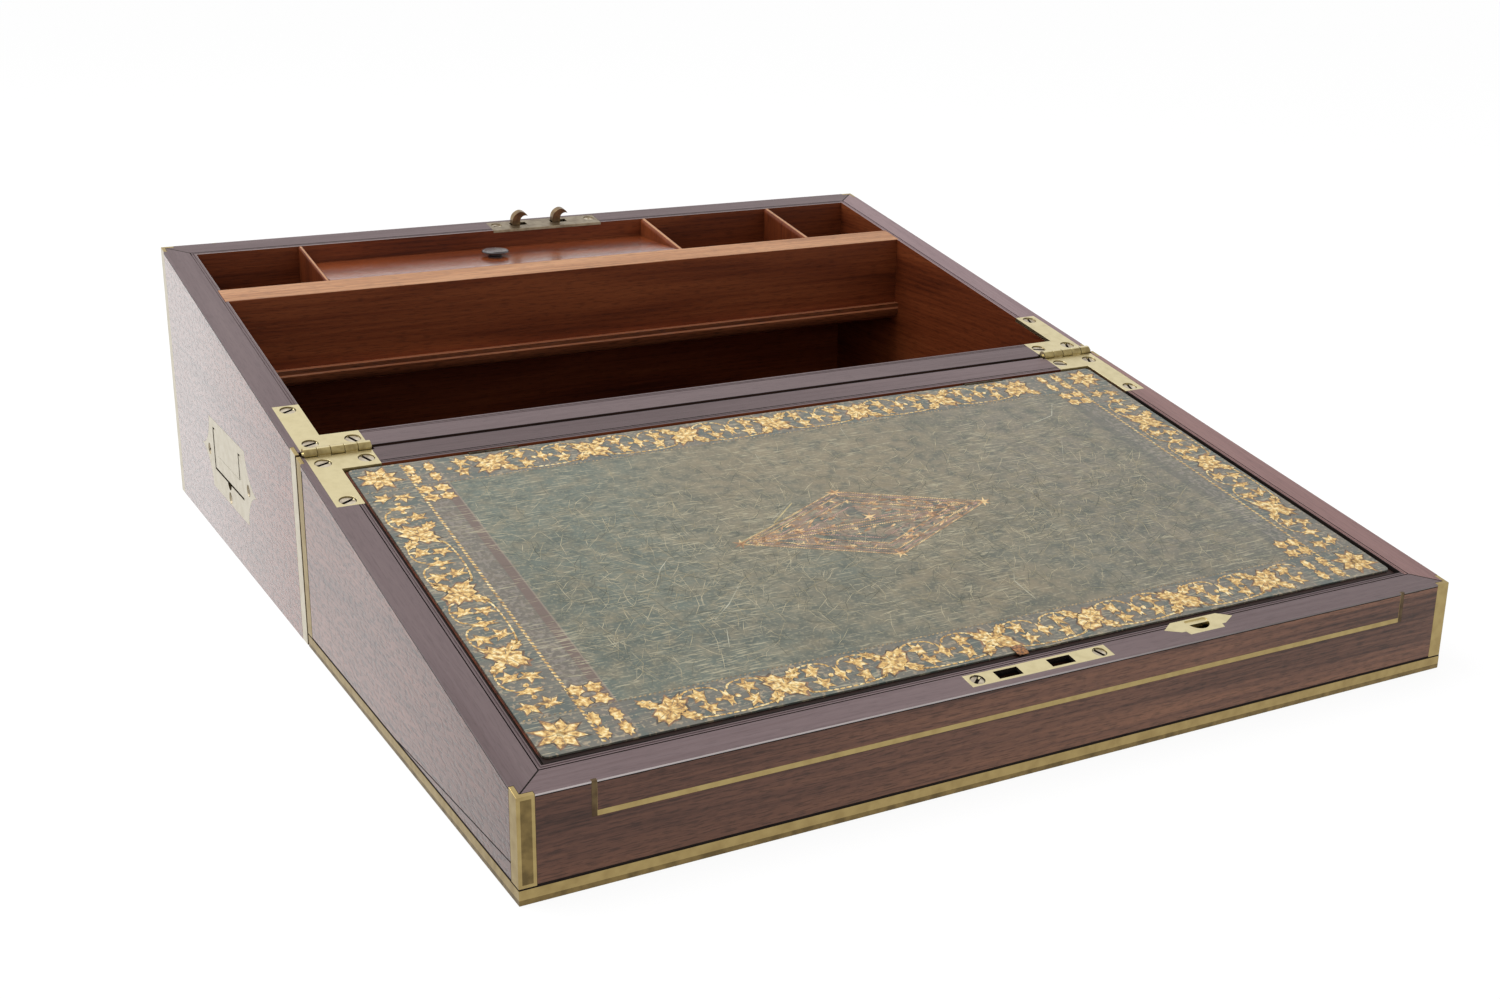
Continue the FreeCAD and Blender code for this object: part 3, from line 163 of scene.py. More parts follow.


def wood(name, dark, middle, light, along="board", pores=0.5, gloss=0.35, shine=0.5, polish=0.0,
         streak=0.45, relief=0.25, flecks=0.0, fade=None):
    """Open-pored wood. Along "board" reads the grain map of the piece, along x or y the object.

    fade is an axis, a place where the colour is whole, a place where it ends and its tint there."""
    material, nodes, links = new_material(name)
    surface = nodes["Principled BSDF"]
    if along == "board":
        start = nodes.new("ShaderNodeUVMap").outputs["UV"]
    else:
        start = nodes.new("ShaderNodeTexCoord").outputs["Object"]

    def stretched_noise(long_scale, cross_scale, detail, distortion):
        spread = nodes.new("ShaderNodeMapping")
        scales = [cross_scale, cross_scale, cross_scale]
        scales[1 if along == "y" else 0] = long_scale
        spread.inputs["Scale"].default_value = scales
        links.new(start, spread.inputs["Vector"])
        noise = nodes.new("ShaderNodeTexNoise")
        noise.inputs["Scale"].default_value = 1
        noise.inputs["Detail"].default_value = detail
        noise.inputs["Distortion"].default_value = distortion
        links.new(spread.outputs["Vector"], noise.inputs["Vector"])
        return noise.outputs["Fac"]

    figure = stretched_noise(3.0, 26, 3, 1.2)
    streaks = stretched_noise(11.0, 520, 6, 0.3)
    both = nodes.new("ShaderNodeMix")
    both.inputs["Factor"].default_value = streak
    links.new(figure, both.inputs[2])
    links.new(streaks, both.inputs[3])
    ramp = nodes.new("ShaderNodeValToRGB")
    ramp.color_ramp.elements[0].position = 0.36
    ramp.color_ramp.elements[0].color = (*dark, 1)
    ramp.color_ramp.elements[1].position = 0.64
    ramp.color_ramp.elements[1].color = (*light, 1)
    ramp.color_ramp.elements.new(0.48).color = (*middle, 1)
    links.new(both.outputs[0], ramp.inputs["Fac"])

    def stained(under, value, low, high, stain):
        """A colour that is whole where the value is low and takes the whole stain above high."""
        share = nodes.new("ShaderNodeMapRange")
        share.inputs["From Min"].default_value = low
        share.inputs["From Max"].default_value = high
        links.new(value, share.inputs["Value"])
        shade = nodes.new("ShaderNodeMix")
        shade.data_type = "RGBA"
        shade.blend_type = "MULTIPLY"
        links.new(share.outputs["Result"], shade.inputs["Factor"])
        links.new(under, shade.inputs[6])
        shade.inputs[7].default_value = (*stain, 1)
        return shade.outputs[2], share.outputs["Result"]

    colour, pore = stained(ramp.outputs["Color"], stretched_noise(130, 1500, 3, 0), 0.52, 0.62,
                           [1 - pores] * 3)
    if flecks:
        colour, pore = stained(colour, stretched_noise(210, 480, 4, 0), 0.50, 0.60,
                               [1 - flecks] * 3)
    if fade:
        axis, start_at, end_at, stain = fade
        parts = nodes.new("ShaderNodeSeparateXYZ")
        links.new(nodes.new("ShaderNodeTexCoord").outputs["Object"], parts.inputs["Vector"])
        colour, faded = stained(colour, parts.outputs[axis], start_at, end_at, stain)
        fading_polish = nodes.new("ShaderNodeMapRange")
        fading_polish.inputs["To Min"].default_value = polish
        fading_polish.inputs["To Max"].default_value = polish * FADE_POLISH_SHARE
        links.new(faded, fading_polish.inputs["Value"])
        links.new(fading_polish.outputs["Result"], surface.inputs["Coat Weight"])
    links.new(colour, surface.inputs["Base Color"])
    bump = nodes.new("ShaderNodeBump")
    bump.inputs["Strength"].default_value = relief
    bump.inputs["Distance"].default_value = 0.0001
    bump.invert = True
    links.new(pore, bump.inputs["Height"])
    links.new(bump.outputs["Normal"], surface.inputs["Normal"])
    if polish:
        links.new(bump.outputs["Normal"], surface.inputs["Coat Normal"])
    surface.inputs["Roughness"].default_value = gloss
    surface.inputs["Specular IOR Level"].default_value = shine
    surface.inputs["Coat Weight"].default_value = polish
    surface.inputs["Coat Roughness"].default_value = 0.16
    return material


plain_mahogany = wood("plain_mahogany", (0.10, 0.026, 0.010), (0.19, 0.052, 0.020),
                      (0.29, 0.090, 0.036), along="x", gloss=0.6)
# The walls are stained near black, which also paints the shade seen through the striker's slots and
# the gaps.
stained = {way: wood("stained_mahogany_along_" + way, (0.016, 0.006, 0.004), (0.030, 0.010, 0.006),
                     (0.046, 0.016, 0.009), along=way, gloss=0.7, shine=0.2) for way in ("x", "y")}
for part in ("base", "lid"):
    for wall, way in (("left", "y"), ("right", "y"), ("front", "x"), ("back", "x")):
        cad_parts[part + "_" + wall + "_wall"].data.materials[0] = stained[way]
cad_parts["base_bottom_board"].data.materials[0] = stained["x"]
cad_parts["lid_panel"].data.materials[0] = plain_mahogany


# ---- Rosewood veneers and rims ----
# Dark rosewood veneer covers the outside, and mitred rosewood strips cover the edges where the
# two halves meet. The edges are eased with a file and the whole is french polished.
def boards_of(shape):
    """Lists the boards of a mesh, each as its faces. More than two faces share a mitre's edges."""
    left = set(shape.faces)
    boards = []
    while left:
        faces = [left.pop()]
        for face in faces:
            for edge in face.edges:
                for neighbour in edge.link_faces:
                    if neighbour in left and len(edge.link_faces) == 2:
                        left.remove(neighbour)
                        faces.append(neighbour)
        boards.append(faces)
    return boards


def lay_grain(shape, draw):
    """Gives each board a map in metres, u along its length, from its own place in the log."""
    grain = shape.loops.layers.uv.new("grain")
    for faces in boards_of(shape):
        points = [vert.co for face in faces for vert in face.verts]
        spans = [max(p[axis] for p in points) - min(p[axis] for p in points) for axis in range(3)]
        long_axis = spans.index(max(spans))
        shift = Vector((draw.uniform(0, 9), draw.uniform(0, 9)))
        for face in faces:
            sizes = [abs(value) for value in face.normal]
            facing = sizes.index(max(sizes))
            if facing == long_axis:
                along, across = [axis for axis in range(3) if axis != facing]
            else:
                along = long_axis
                across = 3 - facing - long_axis
            for loop in face.loops:
                loop[grain].uv = Vector((loop.vert.co[along], loop.vert.co[across])) + shift


def ease_edges(piece, width, turned):
    """Rounds the sharp edges of a piece. Turned pieces are shaded smooth, flat ones flat."""
    for polygon in piece.data.polygons:
        polygon.use_smooth = turned
    easing = piece.modifiers.new("eased_edges", "BEVEL")
    easing.width = width
    easing.segments = 2
    easing.limit_method = "ANGLE"
    easing.angle_limit = math.radians(28)
    easing.use_clamp_overlap = True
    if turned:
        even = piece.modifiers.new("even_shading", "WEIGHTED_NORMAL")
        even.weight = 100


def finished_copy(node, body, slot, edge, *looks, pick=None, cuts=(), seed=1, turned=False):
    """A copy of a node with eased edges and grain maps; pick chooses the look of each face.

    The cuts are planes, each a place and a normal, that part the faces where a look ends."""
    shape = bmesh.new()
    shape.from_mesh(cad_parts[node].data)
    bmesh.ops.remove_doubles(shape, verts=shape.verts, dist=0.000004)
    bmesh.ops.dissolve_limit(shape, angle_limit=math.radians(0.5), verts=shape.verts,
                             edges=shape.edges)
    for place, normal in cuts:
        bmesh.ops.bisect_plane(shape, geom=shape.verts[:] + shape.edges[:] + shape.faces[:],
                               dist=0.000002, plane_co=place, plane_no=normal)
    for layer in list(shape.loops.layers.uv.values()):
        shape.loops.layers.uv.remove(layer)
    lay_grain(shape, random.Random(seed))
    for face in shape.faces:
        face.material_index = pick(face) if pick else 0
    piece = finish_mesh(shape, "finished_" + node)
    for look in looks:
        piece.data.materials.append(look)
    ease_edges(piece, edge, turned)
    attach(piece, body)
    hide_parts(node)
    return piece


VENEER_EDGE = 0.00012
RIM_EDGE = 0.0002
SEAM_HEIGHT = 0.092
SLOPE = math.atan2(0.050, 0.260)
RIM_BELOW = 0.00015           # of both rims below the closing plane
ARRIS = 0.0007                # upper edge of a rim's outer face, pale with a painted highlight that fades to the right
JOINT_LINE = 0.0004           # dark line below it; the rest is stained like the veneer
MITRE_LINE = 0.0003           # half the width of the dark line along an opened mitre
CORNER = Vector((0.225, 0.260, 0))
SEAM_REACH = 0.0012           # from the hinge line to behind the end of either half
SEAM_SHADOW = 0.0014            # from the hinge line to the end of the painted shadow of the seam on the rims
RAIL_X = 0.2050               # the lid's right rail lies beyond this
RAIL_FRONT = -0.2440          # the lid's front rail lies before this
RAIL_BACK = -0.0200           # its back rail lies behind this
RIM_SIDE = 0.0130
RIM_END = 0.0118
BINDING_TOP = 0.0072          # of the dark line above the lid's brass binding
STRAP_JOINT = Vector((0, -0.0083, 0))                       # edge of the line beside a seam strap
STRAP_JOINT_WAY = Vector((0, 1, 0.012)).normalized()
CRACK = Vector((0, -0.130, BINDING_TOP))
CRACK_WAY = Vector((0, 0.055, 1)).normalized()
CRACK_WIDTH = 0.0006
slope_normal = Vector((0, -math.sin(SLOPE), math.cos(SLOPE)))


def below_rims(place):
    """How deep a place lies under the closing plane, in which both rims end."""
    return -(place - Vector((0, 0, SEAM_HEIGHT))).dot(slope_normal)


# Near-black wood for dark joints, mitres and the crack, also laid as painted shade in gaps, slots and
# the seam.
joint_and_shade_black = wood("dark_joint_and_painted_shade", (0.007, 0.005, 0.004), (0.012, 0.008, 0.007),
                   (0.020, 0.014, 0.011), gloss=0.8, shine=0.1)
front_rosewood = wood("front_rosewood", (0.078, 0.033, 0.020), (0.170, 0.076, 0.047),
                      (0.262, 0.120, 0.068), pores=0.42, gloss=0.4, shine=0.3, polish=0.08,
                      streak=0.5, flecks=0.16, fade=("X", 0.06, -0.225, (0.62, 0.58, 0.60)))
# The side veneers are drawn paler than the front ones, partly a painted sheen of their polish seen at
# a glancing view. Their fades, darker and redder towards the seam on the base and darker towards the
# front on the lid, are painted shade where that sheen falls off.
base_side_rosewood_painted_sheen = wood("base_side_rosewood_painted_sheen", (0.180, 0.090, 0.074), (0.290, 0.160, 0.138),
                          (0.390, 0.225, 0.195), pores=0.45, gloss=0.25, polish=0.90, streak=0.5,
                          relief=1.0, flecks=0.50, fade=("Y", 0.19, 0.02, (0.86, 0.55, 0.42)))
lid_side_rosewood_painted_sheen = wood("lid_side_rosewood_painted_sheen", (0.120, 0.052, 0.040), (0.205, 0.092, 0.068),
                         (0.290, 0.130, 0.096), pores=0.5, gloss=0.3, polish=0.50, streak=0.5,
                         relief=1.0, flecks=0.34, fade=("Y", -0.10, -0.26, (0.55, 0.45, 0.42)))


def rim_wood(name, tone, fade=None):
    """Rosewood of the rims in a given tone; its pale grey colour is partly the wood and partly a
    painted sheen of the polish seen from above.
    """
    dark, middle, light = [[share * part for share, part in zip(colour, tone)]
                           for colour in ((0.128, 0.087, 0.089), (0.151, 0.106, 0.109),
                                          (0.174, 0.125, 0.126))]
    return wood(name, dark, middle, light, pores=0.14, gloss=0.5, shine=0.3, streak=0.5, fade=fade)


# The rails are lit and shaded copies of this rosewood. The right rails are lighter, a painted sheen,
# and the front rail is lighter towards its left end, also a painted sheen. The lid's back rail is
# lighter on the right and darker to the left, painted light and shade.
rim_rosewood = rim_wood("rim_rosewood", (0.96, 0.96, 0.96))
right_rail_painted_sheen = {"base": rim_wood("base_right_rail_painted_sheen", (1.66, 1.58, 1.62)),
                  "lid": rim_wood("lid_right_rail_painted_sheen", (1.72, 1.38, 1.26))}
front_rail_painted_sheen = rim_wood("front_rail_painted_sheen", (1.16, 1.16, 1.16),
                               ("X", -0.02, 0.20, (0.80, 0.80, 0.80)))
back_rail_painted_shade = rim_wood("back_rail_painted_shade", (1.12, 1.12, 1.12),
                              ("X", 0.14, -0.04, (0.62, 0.59, 0.59)))
arris_painted_highlight = wood("arris_painted_highlight", (0.46, 0.41, 0.40), (0.56, 0.50, 0.49), (0.66, 0.59, 0.58),
                    pores=0.1, gloss=0.4, fade=("X", -0.04, 0.12, (0.28, 0.25, 0.25)))


def rail_painted_light(middle):
    """Which rail a place is on, and so which painted light it takes: the right one 1, the lid's front
    2 or back 3, or 0 for any other.
    """
    if middle.x > RAIL_X:
        return 1
    if middle.y < RAIL_FRONT:
        return 2
    return 3 if RAIL_BACK < middle.y < 0 else 0


def open_joints(face):
    """1 on the dark lines of the lid's veneers: above the binding, beside the seam straps and in a
    crack that runs up from the binding on the left."""
    middle = face.calc_center_median()
    if middle.z < BINDING_TOP or (middle - STRAP_JOINT).dot(STRAP_JOINT_WAY) > 0:
        return 1
    in_crack = abs((middle - CRACK).dot(CRACK_WAY)) < CRACK_WIDTH / 2
    return 1 if in_crack and middle.x < 0 and middle.y < CRACK.y else 0


finished_copy("base_side_veneers", "base", "rosewood", VENEER_EDGE, base_side_rosewood_painted_sheen, seed=10)
finished_copy("base_back_veneer", "base", "rosewood", VENEER_EDGE, front_rosewood, seed=11)
joint_cuts = [(Vector((0, 0, BINDING_TOP)), Vector((0, 0, 1))), (STRAP_JOINT, STRAP_JOINT_WAY),
              (CRACK + CRACK_WAY * CRACK_WIDTH / 2, CRACK_WAY),
              (CRACK - CRACK_WAY * CRACK_WIDTH / 2, CRACK_WAY), (CRACK, Vector((0, 1, 0)))]
finished_copy("lid_side_veneers", "lid", "rosewood", VENEER_EDGE, lid_side_rosewood_painted_sheen, joint_and_shade_black,
              pick=open_joints, cuts=joint_cuts, seed=12)
finished_copy("lid_front_veneer", "lid", "rosewood", VENEER_EDGE, front_rosewood, joint_and_shade_black,
              pick=open_joints, cuts=joint_cuts[:1], seed=13)
finished_copy("lid_top_veneer", "lid", "rosewood", VENEER_EDGE, front_rosewood, seed=14)

edge_rosewood = {"base": base_side_rosewood_painted_sheen, "lid": lid_side_rosewood_painted_sheen}
for number, (part, away) in enumerate((("base", 1), ("lid", -1))):
    corners = [Vector((side * CORNER.x, away * CORNER.y, 0)) for side in (-1, 1)]
    mitres = [(corner, Vector((away * RIM_END, -side * RIM_SIDE, 0)).normalized())
              for side, corner in zip((-1, 1), corners)]

    def rim_look(face):
        """The rail's tone with its painted light on top, 4 on dark lines, in cuts and in the seam's
        painted shadow, and 5 to 8 on the outer faces: 5 the arris's painted highlight, 8 the ends in
        the seam, stained dark as painted shade.
        """
        middle = face.calc_center_median()
        if abs(face.normal.z) < 0.5:
            at_side = abs(middle.x) > CORNER.x - RIM_EDGE
            at_end = abs(middle.y) > CORNER.y - RIM_EDGE
            if abs(middle.y) < SEAM_REACH:
                return 8
            if not (at_side or at_end):
                return 4
            depth = below_rims(middle) - RIM_BELOW
            if depth < ARRIS:
                return 5 if at_end else rail_painted_light(middle)
            if depth < ARRIS + JOINT_LINE:
                return 4
            return 6 if at_end else 7
        if abs(middle.y) < SEAM_SHADOW:
            return 4
        gaps = [abs((middle - corner).dot(across)) for corner, across in mitres
                if (middle - corner).xy.length < 2 * RIM_SIDE]
        return 4 if gaps and min(gaps) < MITRE_LINE else rail_painted_light(middle)

    line_cuts = [(Vector((0, 0, SEAM_HEIGHT)) - (RIM_BELOW + depth) * slope_normal, slope_normal)
                 for depth in (ARRIS, ARRIS + JOINT_LINE)]
    line_cuts.append((Vector((0, away * SEAM_SHADOW, 0)), Vector((0, 1, 0))))
    finished_copy(part + "_rim", part, "rosewood", RIM_EDGE, rim_rosewood, right_rail_painted_sheen[part],
                  front_rail_painted_sheen, back_rail_painted_shade, joint_and_shade_black, arris_painted_highlight,
                  front_rosewood, edge_rosewood[part], stained["x"], pick=rim_look,
                  seed=20 + number,
                  cuts=line_cuts + [(corner + sign * MITRE_LINE * across, across)
                                    for corner, across in mitres for sign in (-1, 1)])


# ---- Linings ----
# Thin mahogany boards line the inside. Their top edges are faced with rosewood like the rims, and
# two fine lines are scratched along them. In the lid and at the back of the base the outer one is
# drawn black. The base's inner edge is drawn pale, a painted highlight. Beside the flap the lid's
# linings are black along their inner edge and down the top of their faces, a painted shadow of the
# gap round the flap.
LINING_EDGE = 0.00012
LINE_FLOOR = 0.0004           # every face deeper than this below the rims is not a top face
LINE_END = 0.0010
OUTER_LINE = 0.0022           # from a lining's inner face to before its outer line
# inner edge strip of a lining's top: painted highlight in the base, painted shadow in the lid
INNER_EDGE_STRIP = 0.0007
# depth of the painted shadow down the lid's linings beside the flap
FLAP_SHADOW_DEPTH = 0.0085
INNER = {"base": Vector((0.2085, 0.2448, 0)), "lid": Vector((0.2090, 0.2452, 0))}  # inner faces
lining_wood = wood("lining_mahogany", (0.070, 0.013, 0.004), (0.150, 0.032, 0.009),
                   (0.235, 0.060, 0.018), gloss=0.5, shine=0.16, polish=0.03, pores=0.3, streak=0.3)
edge_painted_highlight_wood = wood("rosewood_edge_painted_highlight", (0.22, 0.18, 0.165), (0.30, 0.25, 0.235),
                   (0.40, 0.35, 0.33), pores=0.1, gloss=0.4)


def lining_look(face):
    """The rail's tone with its painted light on top, 4 where black, also as painted shadow beside the
    flap, 5 on the base's inner edge with its painted highlight and 6 down the faces.
    """
    middle = face.calc_center_median()
    depth = below_rims(middle)
    in_lid = middle.y < 0
    inner = INNER["lid" if in_lid else "base"]
    outward = max(abs(middle.x) - inner.x, abs(middle.y) - inner.y)
    if face.normal.z > 0.9 and depth < LINE_FLOOR:
        if 0 < outward < INNER_EDGE_STRIP:
            return 4 if in_lid else 5
        return rail_painted_light(middle)
    if depth < LINE_END:
        drawn_black = outward > OUTER_LINE and (in_lid or middle.y > inner.y)
        return 4 if drawn_black else rail_painted_light(middle)
    return 4 if middle.y < RAIL_BACK and depth < FLAP_SHADOW_DEPTH else 6


for number, part in enumerate(("base", "lid")):
    inner = INNER[part]
    cuts = [(side * (inner.x + INNER_EDGE_STRIP) * Vector((1, 0, 0)), Vector((1, 0, 0)))
            for side in (-1, 1)]
    cuts += [(side * (inner.y + INNER_EDGE_STRIP) * Vector((0, 1, 0)), Vector((0, 1, 0)))
             for side in (-1, 1)]
    if part == "lid":
        cuts.append((Vector((0, 0, SEAM_HEIGHT)) - FLAP_SHADOW_DEPTH * slope_normal, slope_normal))
    finished_copy(part + "_lining", part, "mahogany", LINING_EDGE, rim_rosewood,
                  right_rail_painted_sheen[part], front_rail_painted_sheen, back_rail_painted_shade, joint_and_shade_black,
                  edge_painted_highlight_wood, lining_wood,
                  pick=lining_look, cuts=cuts, seed=30 + number)
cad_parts["flap_ledges"].data.materials[0] = plain_mahogany


# ---- Fittings inside the base ----
# A mahogany cross wall with a moulding at its foot stands in front of the tray. Thin dividers make
# the compartments. Hands have worn the top edges pale, and their paleness is partly painted light
# from above. The moulding's upper faces carry a painted highlight.
FITTING_EDGE = 0.0004


def upward(face):
    """1 on the faces that look up, which are worn and painted lighter for the light from above."""
    return 1 if face.normal.z > 0.9 else 0


def catching_light(face):
    """1 on the faces of a moulding that look up, however little, which carry a painted highlight."""
    return 1 if face.normal.z > 0.05 else 0


worn_and_lit_edge = wood("worn_mahogany_edge_painted_light", (0.34, 0.150, 0.065), (0.47, 0.225, 0.105),
                 (0.58, 0.300, 0.150), gloss=0.55, pores=0.3)
for number, node in enumerate(("cross_wall", "left_divider", "middle_divider", "right_divider")):
    finished_copy(node, "base", "mahogany", FITTING_EDGE, lining_wood, worn_and_lit_edge,
                  pick=upward, seed=40 + number)
moulding_wood = wood("polished_moulding", (0.100, 0.028, 0.010), (0.150, 0.045, 0.017),
                     (0.210, 0.070, 0.028), gloss=0.3, shine=0.4, polish=0.4)
moulding_painted_highlight = wood("moulding_painted_highlight", (0.34, 0.110, 0.045), (0.50, 0.180, 0.082),
                       (0.66, 0.270, 0.135), gloss=0.28, polish=0.8, pores=0.2)
finished_copy("cross_wall_moulding", "base", "mahogany", 0.0001, moulding_wood, moulding_painted_highlight,
              pick=catching_light, seed=50)
for number, node in enumerate(("tray_floor", "tray_lid_ledges")):
    finished_copy(node, "base", "mahogany", FITTING_EDGE / 2, lining_wood, seed=51 + number)


# ---- Pen tray lid and its knob ----
# The lid is a thin polished mahogany board that lies on two ledges. The knob is turned from dark
# wood and glued into it.
tray_lid_wood = wood("polished_mahogany", (0.12, 0.024, 0.007), (0.26, 0.058, 0.015),
                     (0.38, 0.100, 0.028), gloss=0.25, polish=1.0, pores=0.2, streak=0.3)
finished_copy("pen_tray_lid", "tray_lid", "polished_mahogany", FITTING_EDGE, tray_lid_wood, seed=60)
knob_wood = wood("ebonised_wood", (0.016, 0.007, 0.006), (0.030, 0.012, 0.010),
                 (0.060, 0.026, 0.020), along="x", gloss=0.25, polish=0.5)
finished_copy("tray_lid_knob", "tray_lid", "ebonised_wood", 0.0001, knob_wood, turned=True)


# ---- Brass edging and lines ----
# Strips of cast brass protect the corners, the edges beside the hinges and the lid's lower edges.
# A narrow line is let into the front and the back. All are filed level with the veneer.
def metal_look(name, clean, dull, share, roughness):
    """Brass or steel with cloudy tarnish, which covers the given share of it."""
    material, nodes, links = new_material(name)
    surface = nodes["Principled BSDF"]
    surface.inputs["Metallic"].default_value = 1.0
    place = nodes.new("ShaderNodeTexCoord")
    cloud = nodes.new("ShaderNodeTexNoise")
    cloud.inputs["Scale"].default_value = 210
    cloud.inputs["Detail"].default_value = 6
    links.new(place.outputs["Object"], cloud.inputs["Vector"])
    ramp = nodes.new("ShaderNodeValToRGB")
    ramp.color_ramp.elements[0].position = share - 0.14
    ramp.color_ramp.elements[0].color = (*dull, 1)
    ramp.color_ramp.elements[1].position = share + 0.14
    ramp.color_ramp.elements[1].color = (*clean, 1)
    links.new(cloud.outputs["Fac"], ramp.inputs["Fac"])
    links.new(ramp.outputs["Color"], surface.inputs["Base Color"])
    rub = nodes.new("ShaderNodeMapRange")
    rub.inputs["To Min"].default_value = roughness + 0.12
    rub.inputs["To Max"].default_value = roughness - 0.08
    links.new(cloud.outputs["Fac"], rub.inputs["Value"])
    links.new(rub.outputs["Result"], surface.inputs["Roughness"])
    return material


STRAP_EDGE = 0.00025
STRAP_INSET = 0.0014          # bright edge round the darker middle of a strap
STRING_SIDE = 0.1949          # inner edge of the line's upright parts
FOOT_EDGE = 0.0022            # height of the dark lower edge of the lid's binding
edge_brass = metal_look("edge_brass", (0.39, 0.295, 0.125), (0.34, 0.250, 0.105), 0.47, 0.38)
darker_brass = metal_look("darker_brass", (0.22, 0.155, 0.062), (0.13, 0.092, 0.040), 0.5, 0.42)
# Pale greyish brass, a painted glare of the polish seen at a glancing view, on the straps' sides and
# the handles.
pale_brass_painted_glare = metal_look("pale_brass_painted_glare", (0.63, 0.575, 0.455), (0.58, 0.525, 0.410), 0.44, 0.34)
worn_binding = metal_look("worn_binding", (0.37, 0.275, 0.115), (0.31, 0.225, 0.092), 0.47, 0.38)
dull_line = metal_look("dull_brass_line", (0.14, 0.098, 0.050), (0.085, 0.055, 0.032), 0.5, 0.5)


def upright_part(face):
    """1 on the line's upright parts, which are drawn in dull brass."""
    return 1 if abs(face.calc_center_median().x) > STRING_SIDE else 0


def strap_look(face):
    """1 on a strap's side, pale with a painted glare, and 2 on its end at the hinge line, dark as
    painted shade in the seam.
    """
    if abs(face.calc_center_median().y) < SEAM_REACH:
        return 2
    return 1 if abs(face.normal.x) > 0.9 else 0


for part, outer in (("base", "back"), ("lid", "front")):
    finished_copy(part + "_" + outer + "_stringing", part, "brass", 0.00008, edge_brass, dull_line,
                  pick=upright_part, cuts=[(Vector((side * STRING_SIDE, 0, 0)), Vector((1, 0, 0)))
                                           for side in (-1, 1)])
finished_copy("base_corner_straps", "base", "brass", STRAP_EDGE, edge_brass, pale_brass_painted_glare, dull_line,
              pick=strap_look)
finished_copy("lid_edge_binding", "lid", "brass", STRAP_EDGE, worn_binding, darker_brass,
              pick=lambda face: 1 if face.calc_center_median().z < FOOT_EDGE else 0,
              cuts=[(Vector((0, 0, FOOT_EDGE)), Vector((0, 0, 1)))])
strap = finished_copy("lid_corner_straps", "lid", "brass", STRAP_EDGE, edge_brass, darker_brass)
strap_shape = bmesh.new()
strap_shape.from_mesh(strap.data)
fronts = [face for face in strap_shape.faces if face.normal.y < -0.9 and face.calc_area() > 0.0001]
bmesh.ops.inset_individual(strap_shape, faces=fronts, thickness=STRAP_INSET, use_even_offset=True)
for face in fronts:
    face.material_index = 1 if face.calc_center_median().x < 0 else 0
strap_shape.to_mesh(strap.data)
strap_shape.free()


# ---- Main hinges ----
# Two cast brass hinges with cranked leaves are sunk level with the rims. Slotted steel screws with
# sunk heads hold them, and a brass pin runs through five knuckles.
HINGE_EDGE = 0.0002
SCREW_EDGE = 0.0003
SLOT_SIDE = 0.0009            # below the closing plane
plate_brass = metal_look("plate_brass", (0.67, 0.58, 0.34), (0.60, 0.515, 0.295), 0.44, 0.30)
front_shade_brass = metal_look("shaded_brass", (0.34, 0.27, 0.12), (0.22, 0.165, 0.07), 0.5, 0.4)
screw_steel = metal_look("worn_screw_steel", (0.62, 0.55, 0.43), (0.36, 0.30, 0.225), 0.47, 0.40)
HEAD_RING = 0.0003            # painted shade round a screw's head


def screw_look(face):
    """1 inside a screw's slot and down its sides, drawn black as painted shade."""
    return 1 if below_rims(face.calc_center_median()) > SLOT_SIDE else 0


def looks_forward(face):
    """1 on the faces that look to the front, drawn in darker brass as painted shade."""
    return 1 if face.normal.y < -0.45 else 0


def ring_heads(screws):
    """Draws a dark ring round the top of each screw's head, painted shade in the gap round it."""
    shape = bmesh.new()
    shape.from_mesh(screws.data)
    tops = [face for face in shape.faces if face.material_index == 0
            and face.normal.dot(slope_normal) > 0.95]
    bmesh.ops.inset_individual(shape, faces=tops, thickness=HEAD_RING, use_even_offset=True)
    for face in shape.faces:
        if face.material_index == 0 and face not in tops:
            face.material_index = 1
    shape.to_mesh(screws.data)
    shape.free()


for part in ("base", "lid"):
    finished_copy("hinge_" + part + "_leaves", part, "brass", HINGE_EDGE, plate_brass, front_shade_brass,
                  pick=looks_forward, turned=True)
    ring_heads(finished_copy("hinge_" + part + "_screws", part, "screw_steel", SCREW_EDGE,
                             screw_steel, joint_and_shade_black, pick=screw_look, turned=True))
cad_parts["hinge_pins"].data.materials[0] = plate_brass


# ---- Lock, hooks, striker and key plate ----
# The lock's brass plate lies in the back rim of the base with two crescent hooks on one sliding
# bar. They enter the slotted striker in the lid's front rim when the box is shut.
case_steel = metal_look("dull_lock_steel", (0.24, 0.23, 0.22), (0.15, 0.14, 0.13), 0.5, 0.5)
STRIKER_X = 0.0300            # the striker's ends, with its slots well inside them


def in_slot(face):
    """Whether a face is a wall of one of the striker's slots, which are drawn black inside as painted
    shade.
    """
    middle = face.calc_center_median()
    inside = abs(middle.x - striker_middle.x) < STRIKER_X and abs(middle.y - striker_middle.y) < 0.0045
    return inside and abs(face.normal.dot(slope_normal)) < 0.5


striker_low, striker_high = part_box("striker_plate")
striker_middle = (Vector(striker_low) + Vector(striker_high)) / 2
hook_brass = metal_look("hook_brass", (0.31, 0.215, 0.11), (0.16, 0.108, 0.065), 0.5, 0.28)
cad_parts["base_lock_case"].data.materials[0] = case_steel
